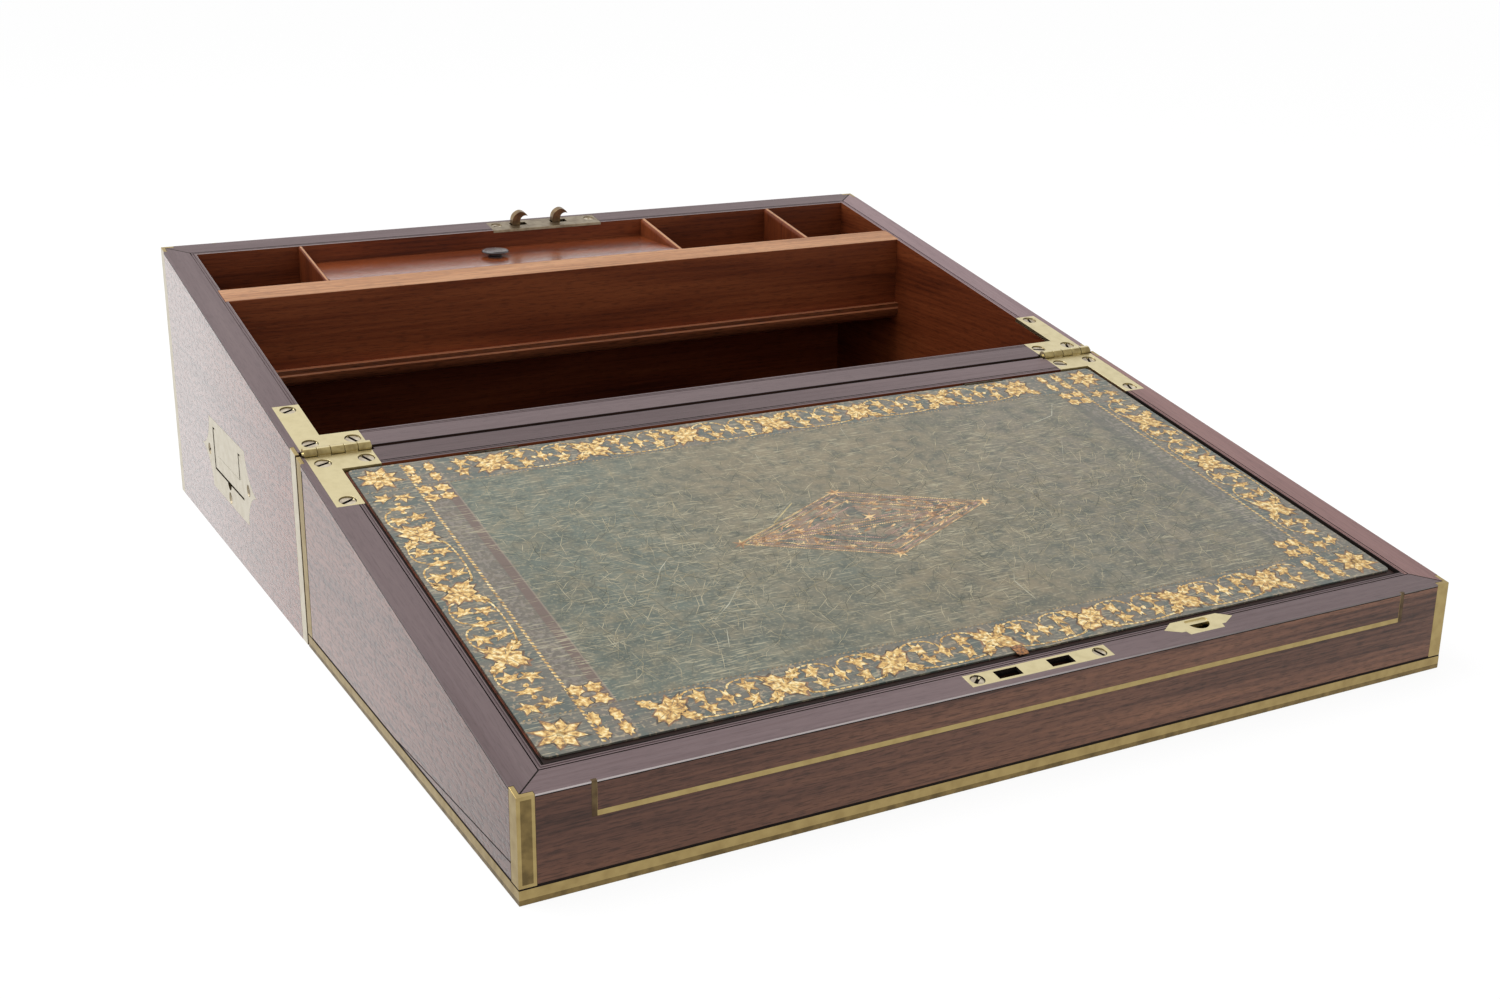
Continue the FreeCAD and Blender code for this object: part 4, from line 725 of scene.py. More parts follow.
# The lock's plate is drawn in darker brass, a painted dark reflection.
lock_brass_painted_reflection = metal_look("lock_brass_painted_reflection", (0.30, 0.245, 0.165), (0.20, 0.155, 0.105), 0.46, 0.36)
finished_copy("base_lock_plate", "base", "brass", HINGE_EDGE, lock_brass_painted_reflection)
finished_copy("hook_bolt", "hooks", "brass", 0.0004, hook_brass, turned=True)
finished_copy("base_small_screws", "base", "screw_steel", SCREW_EDGE / 2, screw_steel, turned=True)
finished_copy("striker_plate", "lid", "brass", HINGE_EDGE, plate_brass, joint_and_shade_black,
              pick=lambda face: 1 if in_slot(face) else 0)
ring_heads(finished_copy("striker_screws", "lid", "screw_steel", SCREW_EDGE, screw_steel,
                         joint_and_shade_black, pick=screw_look, turned=True))
finished_copy("back_escutcheon", "base", "brass", HINGE_EDGE, plate_brass, turned=True)


# ---- Sunk carrying handles ----
# Each side of the base has a pointed brass plate with a pan behind it. A flat bail lies in the pan
# and swings out on two short pins.
PAN_DEPTH = 0.0005            # below the plate's face, where the painted shade of the pan begins
painted_shade_brass = metal_look("painted_shade_brass", (0.100, 0.078, 0.045), (0.035, 0.026, 0.018), 0.5, 0.5)


def in_pan(face):
    """1 in the pan behind a handle plate and down the sides of its slot, dark with painted shade."""
    return 1 if abs(face.calc_center_median().x) < CORNER.x - PAN_DEPTH else 0


for side in ("left", "right"):
    finished_copy(side + "_handle_plate", "base", "brass", HINGE_EDGE / 2, pale_brass_painted_glare, painted_shade_brass,
                  pick=in_pan)
    finished_copy(side + "_handle_bail", side + "_bail", "brass", 0.0003, pale_brass_painted_glare)
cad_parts["handle_pins"].data.materials[0] = pale_brass_painted_glare


# ---- Writing flap ----
# A mahogany board hangs from the lid's back rail on two small brass hinges. Its front edge is
# drawn nearly black, a painted shadow line before the leather.
flap_wood = wood("flap_mahogany", (0.060, 0.014, 0.006), (0.110, 0.028, 0.011), (0.170, 0.045, 0.018),
                 along="x", gloss=0.5, shine=0.2, fade=("Y", -0.236, -0.240, (0.14, 0.12, 0.12)))
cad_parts["flap_board"].data.materials[0] = flap_wood
# The flap's small hinges take the same dark brass.
for node in ("flap_hinge_leaves", "flap_hinge_lid_leaves", "flap_hinge_pins"):
    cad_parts[node].data.materials[0] = painted_shade_brass


# ---- Leather of the writing flap ----
# One skin of green calf is stretched and glued over the board. Ink, hands and light have turned it
# brown in the middle and on the right, and a brown band is tooled beside the left border.
LEATHER_DEPTH = 0.0006        # of its face below the plane of the rims
LEATHER_THICK = 0.0008
LEATHER_CORNER = 0.0025
BORDER = 0.0230               # gold border round the skin
FLAP_HINGE_LENGTH = 0.024     # the skin is notched round the knuckles of these hinges
NOTCH_ROOM = 0.0003
NOTCH_DEPTH = 0.0007
BAND = 0.0160                 # tooled band beside each end border
STRIPE = 0.0046               # plain stripe at the inner edge of a band
LOZENGE_X = 0.0645            # reach of the lozenge in the middle
LOZENGE_V = 0.0300
LOZENGE_LINE = 0.0009
slope_plane = Matrix.Translation((0, 0, SEAM_HEIGHT)) @ Matrix.Rotation(SLOPE, 4, "X")
skin_low, skin_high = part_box("writing_leather")
skin_x = skin_high[0]
lean = LEATHER_DEPTH * math.sin(SLOPE)
skin_front = (skin_low[1] - lean) / math.cos(SLOPE)     # both along the slope from the hinge line
skin_back = (skin_high[1] - lean) / math.cos(SLOPE)
skin_middle = (skin_front + skin_back) / 2
skin_reach = (skin_back - skin_front) / 2
band_edge = skin_x - BORDER
field_edge = band_edge - BAND
lozenge_middle = (-0.004, skin_middle)

skin_shape = bmesh.new()
bmesh.ops.create_grid(skin_shape, x_segments=1, y_segments=1, size=1,
                      matrix=Matrix.Translation((0, skin_middle, -LEATHER_DEPTH - LEATHER_THICK))
                      @ Matrix.Diagonal((skin_x, skin_reach, 1, 1)))
bmesh.ops.bevel(skin_shape, geom=skin_shape.verts[:], offset=LEATHER_CORNER, segments=4,
                profile=0.5, affect="VERTICES", material=-1)
hinge_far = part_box("flap_hinge_pins")[1][0] + NOTCH_ROOM
hinge_near = hinge_far - FLAP_HINGE_LENGTH - 2 * NOTCH_ROOM
notch_front = skin_back - NOTCH_DEPTH
for place, across in [((side * x, 0, 0), (1, 0, 0)) for side in (-1, 1)
                      for x in (hinge_near, hinge_far)] + [((0, notch_front, 0), (0, 1, 0))]:
    bmesh.ops.bisect_plane(skin_shape, plane_co=place, plane_no=across,
                           geom=skin_shape.verts[:] + skin_shape.edges[:] + skin_shape.faces[:])
middles = [(face, face.calc_center_median()) for face in skin_shape.faces]
bmesh.ops.delete(skin_shape, context="FACES",
                 geom=[face for face, middle in middles
                       if hinge_near < abs(middle.x) < hinge_far and middle.y > notch_front])
raised = bmesh.ops.extrude_face_region(skin_shape, geom=skin_shape.faces[:])
bmesh.ops.translate(skin_shape, vec=(0, 0, LEATHER_THICK),
                    verts=[part for part in raised["geom"] if isinstance(part, bmesh.types.BMVert)])
bmesh.ops.recalc_face_normals(skin_shape, faces=skin_shape.faces)
skin_map = skin_shape.loops.layers.uv.new("skin")
for face in skin_shape.faces:
    for loop in face.loops:
        loop[skin_map].uv = (loop.vert.co.x, loop.vert.co.y)
bmesh.ops.transform(skin_shape, matrix=slope_plane, verts=skin_shape.verts)
skin = finish_mesh(skin_shape, "tooled_leather")

leather, nodes, links = new_material("worn_green_leather")
surface = nodes["Principled BSDF"]
skin_place = nodes.new("ShaderNodeUVMap")
place_parts = nodes.new("ShaderNodeSeparateXYZ")
links.new(skin_place.outputs["UV"], place_parts.inputs["Vector"])
place_x = place_parts.outputs["X"]
place_v = place_parts.outputs["Y"]


def reckon(operation, first, second=None, third=None):
    """One step of arithmetic on sockets or plain numbers."""
    step = nodes.new("ShaderNodeMath")
    step.operation = operation
    for socket, value in zip(step.inputs, (first, second, third)):
        if isinstance(value, (int, float)):
            socket.default_value = value
        elif value is not None:
            links.new(value, socket)
    return step.outputs[0]


def cloud_noise(scale, detail, stretch=(1, 1, 1), turn=0.0):
    """Noise over the skin, drawn out along one direction where stretch is uneven."""
    spread = nodes.new("ShaderNodeMapping")
    spread.inputs["Scale"].default_value = stretch
    spread.inputs["Rotation"].default_value = (0, 0, turn)
    links.new(skin_place.outputs["UV"], spread.inputs["Vector"])
    noise = nodes.new("ShaderNodeTexNoise")
    noise.inputs["Scale"].default_value = scale
    noise.inputs["Detail"].default_value = detail
    links.new(spread.outputs["Vector"], noise.inputs["Vector"])
    return noise.outputs["Fac"]


def step_between(value, low, high):
    """0 below low, 1 above high and a smooth rise between them."""
    rise = nodes.new("ShaderNodeMapRange")
    rise.interpolation_type = "SMOOTHSTEP"
    rise.inputs["From Min"].default_value = low
    rise.inputs["From Max"].default_value = high
    links.new(value, rise.inputs["Value"])
    return rise.outputs["Result"]


def tint(under, colour, share, most=1.0):
    """Lays a colour over the one under it, up to its most where share is 1."""
    mix = nodes.new("ShaderNodeMix")
    mix.data_type = "RGBA"
    links.new(reckon("MULTIPLY", share, most), mix.inputs["Factor"])
    links.new(under, mix.inputs[6])
    mix.inputs[7].default_value = (*colour, 1)
    return mix.outputs[2]


def strip(value, low, high, soft=0.0004):
    """1 between two places and 0 outside them."""
    return reckon("MULTIPLY", step_between(value, low, low + soft),
                  step_between(value, high, high - soft))


across = reckon("ABSOLUTE", place_x)
ground = nodes.new("ShaderNodeRGB")
ground.outputs[0].default_value = (0.118, 0.145, 0.115, 1)
browned = reckon("MULTIPLY", step_between(place_x, -0.125, -0.035),
                 step_between(cloud_noise(9, 4), 0.25, 0.55))
colour = tint(ground.outputs[0], (0.235, 0.185, 0.110), browned, 0.85)
colour = tint(colour, (0.165, 0.150, 0.118), step_between(place_x, 0.02, 0.13), 0.75)
colour = tint(colour, (0.050, 0.068, 0.052), step_between(cloud_noise(150, 12), 0.40, 0.68), 0.66)
colour = tint(colour, (0.062, 0.078, 0.058), step_between(cloud_noise(17, 9), 0.46, 0.70), 0.52)
colour = tint(colour, (0.066, 0.078, 0.060),
              reckon("MULTIPLY", step_between(place_v, -0.150, -0.200),
                     step_between(cloud_noise(40, 8, turn=0.7), 0.42, 0.60)), 0.50)
colour = tint(colour, (0.275, 0.225, 0.135), step_between(cloud_noise(110, 12), 0.40, 0.74), 0.50)
colour = tint(colour, (0.330, 0.290, 0.190), step_between(cloud_noise(620, 5), 0.52, 0.64), 0.45)
right_band = reckon("MULTIPLY", strip(across, field_edge, band_edge),
                    step_between(place_x, 0.0, 0.1))
colour = tint(colour, (0.080, 0.085, 0.074), right_band, 0.50)
off_middle = reckon("ADD",
                    reckon("DIVIDE", reckon("ABSOLUTE", reckon("SUBTRACT", place_x,
                                                               lozenge_middle[0])), LOZENGE_X),
                    reckon("DIVIDE", reckon("ABSOLUTE", reckon("SUBTRACT", place_v,
                                                               lozenge_middle[1])), LOZENGE_V))
in_lozenge = reckon("MULTIPLY", step_between(off_middle, 1.02, 0.96),
                    step_between(cloud_noise(150, 5), 0.36, 0.56))
colour = tint(colour, (0.330, 0.205, 0.140), in_lozenge, 0.60)
colour = tint(colour, (0.055, 0.080, 0.072),
              reckon("MULTIPLY", step_between(off_middle, 1.0, 0.94),
                     step_between(cloud_noise(120, 6, turn=1.0), 0.50, 0.56)), 0.75)
left_half = step_between(place_x, 0.19, -0.10)
band = strip(across, field_edge, band_edge)
colour = tint(colour, (0.150, 0.112, 0.090), reckon("MULTIPLY", band, left_half), 0.60)
stripe = reckon("MULTIPLY", strip(across, field_edge, field_edge + STRIPE), left_half)
colour = tint(colour, (0.145, 0.095, 0.076), stripe, 0.85)
edge_line = strip(across, field_edge - 0.0006, field_edge + 0.0006)
colour = tint(colour, (0.300, 0.235, 0.180), reckon("MULTIPLY", edge_line, left_half), 0.55)
prints = step_between(cloud_noise(1, 2, (520, 380, 1)), 0.47, 0.60)
colour = tint(colour, (0.290, 0.250, 0.215),
              reckon("MULTIPLY", prints, strip(across, field_edge + STRIPE, band_edge)), 0.50)
blind_line = strip(place_v, skin_front + 0.0325, skin_front + 0.0337)
dashes = step_between(reckon("SINE", reckon("MULTIPLY", place_x, 1400)), 0.2, 0.4)
inside = step_between(across, field_edge, field_edge - 0.0004)
colour = tint(colour, (0.240, 0.215, 0.160),
              reckon("MULTIPLY", inside, reckon("MULTIPLY", blind_line, dashes)), 0.5)
border = reckon("MAXIMUM", step_between(across, band_edge - 0.0004, band_edge),
                reckon("MAXIMUM", step_between(place_v, skin_back - BORDER - 0.0004,
                                               skin_back - BORDER),
                       step_between(place_v, skin_front + BORDER, skin_front + BORDER - 0.0004)))
colour = tint(colour, (0.138, 0.128, 0.108), border, 0.75)
colour = tint(colour, (0.072, 0.098, 0.088),
              reckon("MULTIPLY", border, step_between(cloud_noise(85, 5), 0.47, 0.58)), 0.75)
colour = tint(colour, (0.440, 0.340, 0.220),
              reckon("MULTIPLY", border, step_between(cloud_noise(430, 4), 0.55, 0.64)), 0.60)
for number, turn in enumerate((0.3, 0.9, 1.5, 2.2, 2.8)):
    hairs = step_between(cloud_noise(1, 2, (70 + 8 * number, 1100, 1), turn), 0.60, 0.68)
    patches = step_between(cloud_noise(22, 4, (1, 1, 1), turn + 0.4), 0.46, 0.60)
    colour = tint(colour, (0.500, 0.450, 0.300), reckon("MULTIPLY", hairs, patches), 0.62)
links.new(colour, surface.inputs["Base Color"])
surface.inputs["Roughness"].default_value = 0.5
surface.inputs["Coat Weight"].default_value = 0.20
surface.inputs["Coat Roughness"].default_value = 0.35
pebble = nodes.new("ShaderNodeBump")
pebble.inputs["Strength"].default_value = 0.5
pebble.inputs["Distance"].default_value = 0.0002
links.new(cloud_noise(700, 4), pebble.inputs["Height"])
links.new(pebble.outputs["Normal"], surface.inputs["Normal"])
skin.data.materials.append(leather)
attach(skin, "flap")
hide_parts("writing_leather")


# ---- Gold tooling ----
# Hot tools press gold leaf into the skin, and each print sits in a reddened hollow, drawn as a
# darker rim round the gold that is partly browned leather and partly painted shade of the hollow.
# A roll prints bars, flowers and leaves round the border, and single tools print the stars and the
# bands' ends.
GOLD_LIFT = 0.00006
HOLLOW_LIFT = 0.00003
HOLLOW_WIDER = 1.16
ROLL_LENGTH = 0.049           # of one print of the border roll
STAR_REACH = 0.0100
ROW = 0.0042                  # of the flowers off the middle of the border
VINE = 0.0011
ROPE = 0.0016
VEIN = 0.00045
VEIN_LIFT = 0.00008
gold_draw = random.Random(7)
gold_shape = bmesh.new()


def outline(points, low):
    """Shares of a figure's reach, by turns 1 and low, for a figure with that many points."""
    return [share for _ in range(points) for share in (1.0, low)]


LEAF = outline(9, 0.74)
FLOWER = outline(6, 0.68)
SPRAY = [1.0, 0.48, 0.92, 0.42, 0.74, 0.36, 0.30, 0.36, 0.74, 0.42, 0.92, 0.48]
BAR = [1.0, 0.5, 0.85, 0.45, 0.85, 0.5, 1.0, 0.5, 0.85, 0.45, 0.85, 0.5]
STAR = outline(8, 0.58)
SPARK = outline(6, 0.34)
DOT = outline(3, 0.9)


def press(shares, length, width, x, v, turn=0.0, hollow=True, veins=0):
    """Presses a flat figure into the skin, its outline given as shares of its reach.

    The veins are dark strokes that run out from the middle of the figure over its gold."""
    wear = [gold_draw.uniform(0.88, 1.1) for _ in shares]
    parts = [(0, shares, GOLD_LIFT, Matrix.Identity(4), 1.0)]
    if hollow:
        parts.append((1, shares, HOLLOW_LIFT, Matrix.Identity(4), HOLLOW_WIDER))
    for number in range(veins):
        way = 2 * math.pi * (number + gold_draw.uniform(0.3, 0.7)) / veins
        stroke = (Matrix.Rotation(way, 4, "Z") @ Matrix.Translation((0.24, 0, 0))
                  @ Matrix.Diagonal((0.30, 2 * VEIN / (length + width), 1, 1)))
        parts.append((2, DOT, VEIN_LIFT, stroke, 1.0))
    for look, reach, lift, place, wider in parts:
        made = bmesh.ops.create_circle(gold_shape, cap_ends=True, segments=len(reach), radius=0.5)
        for vert, share, worn in zip(made["verts"], reach, wear):
            vert.co *= share * worn * wider
        for face in {face for vert in made["verts"] for face in vert.link_faces}:
            face.material_index = look
        bmesh.ops.transform(gold_shape, verts=made["verts"],
                            matrix=Matrix.Translation((x, v, lift)) @ Matrix.Rotation(turn, 4, "Z")
                            @ Matrix.Diagonal((length, width, 1, 1)) @ place)


def press_vine(x, v, width, height, turn=0.0):
    """A vine of short strokes that arches over a flower."""
    strokes = max(5, round(width / 0.0019))
    for number in range(strokes):
        angle = math.pi * (number + 0.5) / strokes
        along = width / 2 * math.cos(angle)
        up = height * math.sin(angle)
        heading = math.atan2(height * math.cos(angle), -width / 2 * math.sin(angle))
        press(DOT, 2.6 * VINE, VINE, x + along * math.cos(turn) - up * math.sin(turn),
              v + along * math.sin(turn) + up * math.cos(turn), heading + turn, hollow=False)


def press_line(x0, v0, x1, v1, size, pitch=1.9, look=0):
    """A line of slanting strokes, like a rope, in one of the looks of the gold."""
    before = set(gold_shape.faces)
    span = math.hypot(x1 - x0, v1 - v0)
    turn = math.atan2(v1 - v0, x1 - x0)
    count = int(span / (size * pitch))
    for number in range(count):
        share = (number + 0.5) / count
        press(DOT, 1.5 * size, size * 0.8, x0 + (x1 - x0) * share, v0 + (v1 - v0) * share,
              turn + 0.6, hollow=False)
    for face in set(gold_shape.faces) - before:
        face.material_index = look


def press_roll(middle_at, prints, start, end, middle, upright):
    """Rolls the border pattern along one side between start and end.

    The prints' leaves fall on middle_at and whole roll lengths to either side of it."""
    def put(shares, size, wide, along, off, turn=0.0, veins=0):
        if start < along < end:
            x, v, more = (middle - off, along, math.pi / 2) if upright else (along, middle + off, 0.0)
            press(shares, size, wide, x, v, turn + more, veins=veins)

    def arch(along, off, width, height, turn):
        if start + width / 2 < along < end - width / 2:
            x, v, more = (middle - off, along, math.pi / 2) if upright else (along, middle + off, 0.0)
            press_vine(x, v, width, height, turn + more)

    for number in prints:
        leaf_at = middle_at + ROLL_LENGTH * number
        slant = 0.75 if number % 2 else -0.75
        put(LEAF, 0.0212, 0.0122, leaf_at, 0, slant, 8)
        put(LEAF, 0.0098, 0.0056, leaf_at - 0.0064, math.copysign(0.0059, slant), -slant, 3)
        put(LEAF, 0.0098, 0.0056, leaf_at + 0.0064, -math.copysign(0.0059, slant), -slant, 3)
        bar_at = leaf_at + ROLL_LENGTH / 2
        put(BAR, 0.0155, 0.0054, bar_at, 0, math.pi / 2)
        arch(bar_at, -0.0070, 0.034, 0.0026, math.pi)
        for side in (-1, 1):
            flower_at = leaf_at + side * 0.0147
            put(SPRAY, 0.0120, 0.0106, flower_at, ROW, gold_draw.uniform(0.9, 1.6) * side, 4)
            put(SPRAY, 0.0116, 0.0102, flower_at, -ROW, gold_draw.uniform(-1.6, -0.9) * side, 4)
            put(DOT, 0.0030, 0.0024, flower_at + side * 0.0058, 0, gold_draw.uniform(0, 3))
            arch(flower_at, 0.0055, 0.0150, 0.0038, 0.0)


roll_middle = 0.0113          # from the edge of the skin to the middle of its border
prints = range(-4, 5)
press_roll(-0.005, prints, -field_edge + 0.004, field_edge - 0.004, skin_front + roll_middle, False)
press_roll(0.004, prints, -field_edge + 0.004, field_edge - 0.004, skin_back - roll_middle, False)
for side in (-1, 1):
    press_roll(skin_middle, prints, skin_front + BORDER + 0.003, skin_back - BORDER - 0.003,
               side * (skin_x - roll_middle), True)
    for v in (skin_front + roll_middle, skin_back - roll_middle):
        press(STAR, 2 * STAR_REACH, 2 * STAR_REACH, side * (skin_x - roll_middle), v, 0.39, veins=8)
        press(DOT, 0.004, 0.004, side * (skin_x - roll_middle), v)
        for column in (-0.0045, 0.0045):
            for row in (-0.0046, 0.0046):
                press(LEAF, 0.0094, 0.0052, side * (field_edge + BAND / 2 + column), v + row,
                      math.pi / 2)
    for v in (skin_front + BORDER + 0.0078, skin_back - BORDER - 0.0078):
        for column in (-0.0038, 0.0038):
            for row in (-0.0038, 0.0038):
                press(FLOWER, 0.0078, 0.0078, side * (field_edge + BAND / 2 + column), v + row)
    press_line(side * (band_edge - 0.0012), skin_front + 0.001, side * (band_edge - 0.0012),
               skin_back - 0.001, ROPE, 1.5)
for v in (skin_front + BORDER, skin_back - BORDER):
    press_line(-skin_x + 0.001, v, skin_x - 0.001, v, ROPE * 0.7, 1.8, look=2)


def mottled(name, scale, detail, stops, roughness, metallic=0.0):
    """A look whose colour wanders between the stops, each a share of the noise and a colour."""
    material, nodes, links = new_material(name)
    surface = nodes["Principled BSDF"]
    noise = nodes.new("ShaderNodeTexNoise")
    noise.inputs["Scale"].default_value = scale
    noise.inputs["Detail"].default_value = detail
    links.new(nodes.new("ShaderNodeTexCoord").outputs["Object"], noise.inputs["Vector"])
    ramp = nodes.new("ShaderNodeValToRGB")
    first, last = ramp.color_ramp.elements
    first.position, last.position = stops[0][0], stops[-1][0]
    first.color, last.color = (*stops[0][1], 1), (*stops[-1][1], 1)
    for position, stop_colour in stops[1:-1]:
        ramp.color_ramp.elements.new(position).color = (*stop_colour, 1)
    links.new(noise.outputs["Fac"], ramp.inputs["Fac"])
    links.new(ramp.outputs["Color"], surface.inputs["Base Color"])
    surface.inputs["Metallic"].default_value = metallic
    surface.inputs["Roughness"].default_value = roughness
    return material


worn_gold = mottled("worn_gold_leaf", 520, 5, ((0.34, (0.22, 0.130, 0.055)),
                                               (0.43, (0.56, 0.32, 0.105)),
                                               (0.53, (0.80, 0.55, 0.20)),
                                               (0.66, (0.97, 0.82, 0.48))), 0.5, 0.2)
hollow_brown_and_shade = mottled("reddened_hollow_and_shade", 330, 3, ((0.42, (0.080, 0.062, 0.045)),
                                                   (0.60, (0.30, 0.165, 0.090))), 0.6)
faded_gold = mottled("faded_gold", 300, 4, ((0.42, (0.17, 0.130, 0.080)),
                                            (0.62, (0.46, 0.335, 0.175))), 0.55)
bmesh.ops.transform(gold_shape, matrix=slope_plane @ Matrix.Translation((0, 0, -LEATHER_DEPTH)),
                    verts=gold_shape.verts)
gold_border = finish_mesh(gold_shape, "gold_border")
for look in (worn_gold, hollow_brown_and_shade, faded_gold):
    gold_border.data.materials.append(look)
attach(gold_border, "flap")


# ---- Lozenge and scratches on the leather ----
# The middle of the skin carries a large worn lozenge of fine lines and small leaves. Pens and
# knives have left pale scratches all over it, most of them in front of the lozenge.
gold_shape = bmesh.new()
for inset, look in ((0.0, 0), (0.0021, 1), (0.0042, 0), (0.0080, 1), (0.0100, 0), (0.0150, 1)):
    reach_x = LOZENGE_X - 2.1 * inset
    reach_v = LOZENGE_V - inset
    corners = [(-reach_x, 0), (0, reach_v), (reach_x, 0), (0, -reach_v)]
    for (x0, v0), (x1, v1) in zip(corners, corners[1:] + corners[:1]):
        press_line(lozenge_middle[0] + x0, lozenge_middle[1] + v0,
                   lozenge_middle[0] + x1, lozenge_middle[1] + v1, LOZENGE_LINE, 1.2, look)
for number, rise in enumerate((-0.16, -0.06, 0.04, 0.14)):
    press_line(lozenge_middle[0] - 0.9 * LOZENGE_X, lozenge_middle[1] + 0.3 * rise * LOZENGE_V,
               lozenge_middle[0] + 0.8 * LOZENGE_X, lozenge_middle[1] + rise * LOZENGE_V,
               LOZENGE_LINE, 1.3, number % 2)
for number in range(150):
    share = gold_draw.uniform(-0.9, 0.9)
    off = gold_draw.uniform(-0.9, 0.9) * (1 - abs(share))
    press(SPARK if number % 3 else LEAF, gold_draw.uniform(0.0026, 0.0070),
          gold_draw.uniform(0.0008, 0.0018), lozenge_middle[0] + share * LOZENGE_X,
          lozenge_middle[1] + off * LOZENGE_V, gold_draw.gauss(0, 0.6), hollow=False)
for x, v in ((-0.064, 0), (0.064, 0), (0, 0.029), (0, -0.029), (0.004, 0.004), (-0.034, 0.002),
             (0.034, -0.002), (0.012, -0.017)):
    press(SPARK, 0.0092, 0.0074, lozenge_middle[0] + x, lozenge_middle[1] + v,
          gold_draw.uniform(0, 1), hollow=False)
for line in ((-0.0700, -0.1350, -0.0263, -0.1161), (-0.0690, -0.1320, -0.0270, -0.1140),
             (-0.0453, -0.1207, -0.0282, -0.1066)):
    press_line(*line, LOZENGE_LINE, 1.1, 3)
bmesh.ops.transform(gold_shape, matrix=slope_plane @ Matrix.Translation((0, 0, -LEATHER_DEPTH)),
                    verts=gold_shape.verts)
lozenge = finish_mesh(gold_shape, "gold_lozenge")
red_gold = mottled("reddened_gold", 240, 5, ((0.40, (0.30, 0.165, 0.090)),
                                             (0.49, (0.62, 0.35, 0.165)),
                                             (0.60, (0.88, 0.64, 0.32))), 0.5)
pink_line = mottled("rose_brown_line", 240, 4, ((0.42, (0.230, 0.160, 0.120)),
                                                (0.58, (0.560, 0.330, 0.270))), 0.55)
yellow_line = mottled("yellow_gold_line", 200, 3, ((0.40, (0.44, 0.36, 0.18)),
                                                   (0.60, (0.68, 0.56, 0.30))), 0.55)
for look in (red_gold, pink_line, faded_gold, yellow_line):
    lozenge.data.materials.append(look)
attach(lozenge, "flap")

SCRATCH_WIDTH = 0.0005
SCRATCH_LIFT = 0.00002
scratch_draw = random.Random(11)
scratch_shape = bmesh.new()


def scratch(points, width, look):
    """A pale scored line through the given places, as one ribbon."""
    last = None
    for number, (x, v) in enumerate(points):
        before = points[max(number - 1, 0)]
        after = points[min(number + 1, len(points) - 1)]
        heading = Vector((after[0] - before[0], after[1] - before[1])).normalized()
        side = Vector((-heading.y, heading.x)) * width / 2
        taper = 0.35 if number in (0, len(points) - 1) else 1.0
        pair = [scratch_shape.verts.new((x + sign * side.x * taper, v + sign * side.y * taper, 0))
                for sign in (-1, 1)]
        if last:
            made = bmesh.ops.contextual_create(scratch_shape, geom=last + pair)
            for face in made["faces"]:
                face.material_index = look
        last = pair


for line in (((-0.122, -0.158), (-0.111, -0.141), (-0.103, -0.133)),
             ((-0.107, -0.184), (-0.096, -0.175), (-0.086, -0.164)),
             ((-0.120, -0.198), (-0.111, -0.204), (-0.106, -0.192)),
             ((-0.024, -0.073), (-0.021, -0.058)), ((0.124, -0.109), (0.137, -0.090)),
             ((0.031, -0.214), (0.031, -0.198), (0.035, -0.192)), ((-0.045, -0.118), (-0.027, -0.104)),
             ((-0.068, -0.160), (-0.069, -0.150)), ((0.128, -0.071), (0.150, -0.064), (0.159, -0.052)),
             ((0.034, -0.045), (0.031, -0.058)), ((0.101, -0.190), (0.103, -0.172)),
             ((-0.160, -0.188), (-0.140, -0.185)), ((0.064, -0.095), (0.072, -0.086))):
    scratch(line, SCRATCH_WIDTH, 0)
for number in range(2600):
    x = scratch_draw.uniform(-0.165, 0.160)
    v = scratch_draw.gauss(-0.150, 0.045)
    angle = scratch_draw.uniform(0, math.pi)
    bend = scratch_draw.gauss(0, 0.35)
    length = scratch_draw.uniform(0.004, 0.018)
    if skin_front + BORDER < v < skin_back - BORDER - length:
        middle = (x + math.cos(angle) * length / 2, v + math.sin(angle) * length / 2)
        scratch(((x, v), middle, (middle[0] + math.cos(angle + bend) * length / 2,
                                  middle[1] + math.sin(angle + bend) * length / 2)),
                SCRATCH_WIDTH * scratch_draw.uniform(0.3, 0.65), 2 if number % 3 == 0 else 1)
bmesh.ops.transform(scratch_shape, matrix=slope_plane
                    @ Matrix.Translation((0, 0, SCRATCH_LIFT - LEATHER_DEPTH)),
                    verts=scratch_shape.verts)
scratches = finish_mesh(scratch_shape, "scratches")
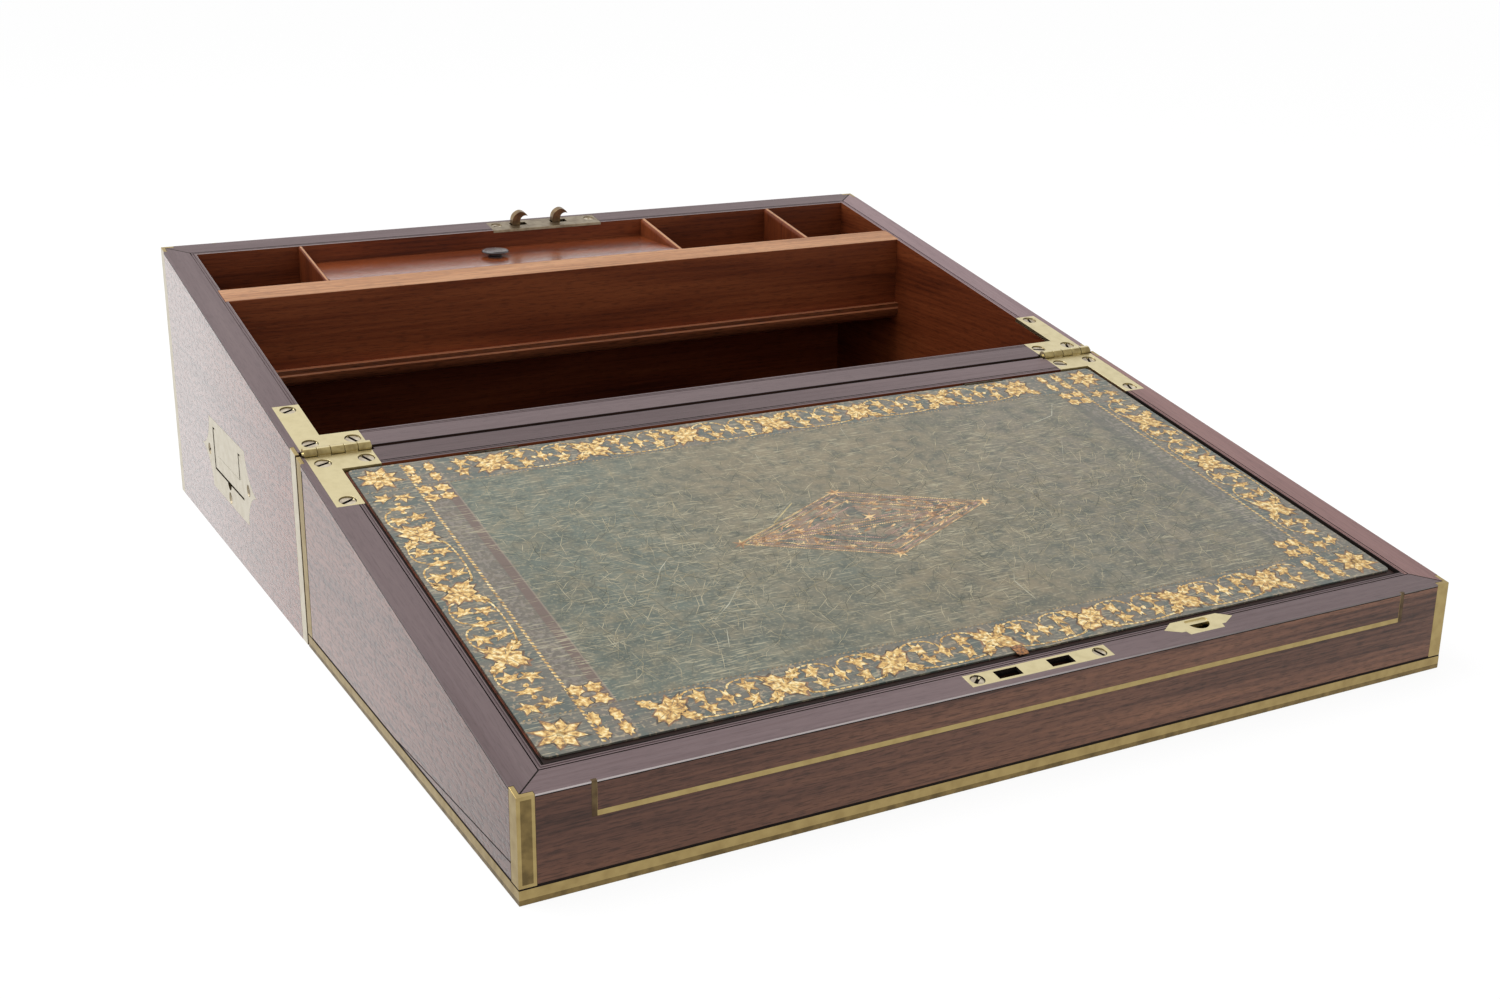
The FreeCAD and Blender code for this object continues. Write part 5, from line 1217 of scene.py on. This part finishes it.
for name, dull, pale in (("scored_leather", (0.34, 0.33, 0.24), (0.52, 0.51, 0.40)),
                         ("scuffed_leather", (0.29, 0.25, 0.15), (0.52, 0.46, 0.31)),
                         ("darkened_scuff", (0.060, 0.066, 0.046), (0.120, 0.120, 0.082))):
    scratches.data.materials.append(mottled(name, 120, 3, ((0.42, dull), (0.58, pale)), 0.6))
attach(scratches, "flap")


# ---- Pull tab ----
# A small tongue of brown leather is glued under the front edge of the skin. It arches up a little
# in the middle, so that a finger can lift the flap by it.
TAB_CORNER = 0.0009
tab_low, tab_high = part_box("pull_tab")
tab_front = (tab_low[1] - lean) / math.cos(SLOPE)
tab_back = (tab_high[1] - lean) / math.cos(SLOPE)
tab_shape = bmesh.new()
bmesh.ops.create_grid(tab_shape, x_segments=6, y_segments=10, size=1,
                      matrix=Matrix.Translation((0, (tab_front + tab_back) / 2, -LEATHER_DEPTH))
                      @ Matrix.Diagonal((tab_high[0] * 0.92, (tab_back - tab_front) / 2.2, 1, 1)))
for vert in tab_shape.verts:
    share = (vert.co.y - tab_front) / (tab_back - tab_front)
    vert.co.z += 0.0004 * math.sin(math.pi * share)
    vert.co.x *= 1 - 0.25 * abs(2 * share - 1) ** 3
raised = bmesh.ops.extrude_face_region(tab_shape, geom=tab_shape.faces[:])
bmesh.ops.translate(tab_shape, vec=(0, 0, 0.00035),
                    verts=[part for part in raised["geom"] if isinstance(part, bmesh.types.BMVert)])
bmesh.ops.recalc_face_normals(tab_shape, faces=tab_shape.faces)
bmesh.ops.transform(tab_shape, matrix=slope_plane, verts=tab_shape.verts)
tab = finish_mesh(tab_shape, "leather_pull_tab")
for polygon in tab.data.polygons:
    polygon.use_smooth = True
tab_leather = mottled("brown_tab_leather", 900, 2, ((0.4, (0.10, 0.040, 0.014)),
                                                    (0.6, (0.42, 0.180, 0.055))), 0.5)
tab.data.materials.append(tab_leather)
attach(tab, "flap")
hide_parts("pull_tab")


# ---- Flap lock ----
# A small lock in the lid's front rail, behind a pointed brass plate, holds the flap shut.
finished_copy("flap_lock_plate", "lid", "brass", HINGE_EDGE, plate_brass)
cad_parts["flap_lock_case"].data.materials[0] = case_steel
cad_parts["flap_bolt"].data.materials[0] = edge_brass
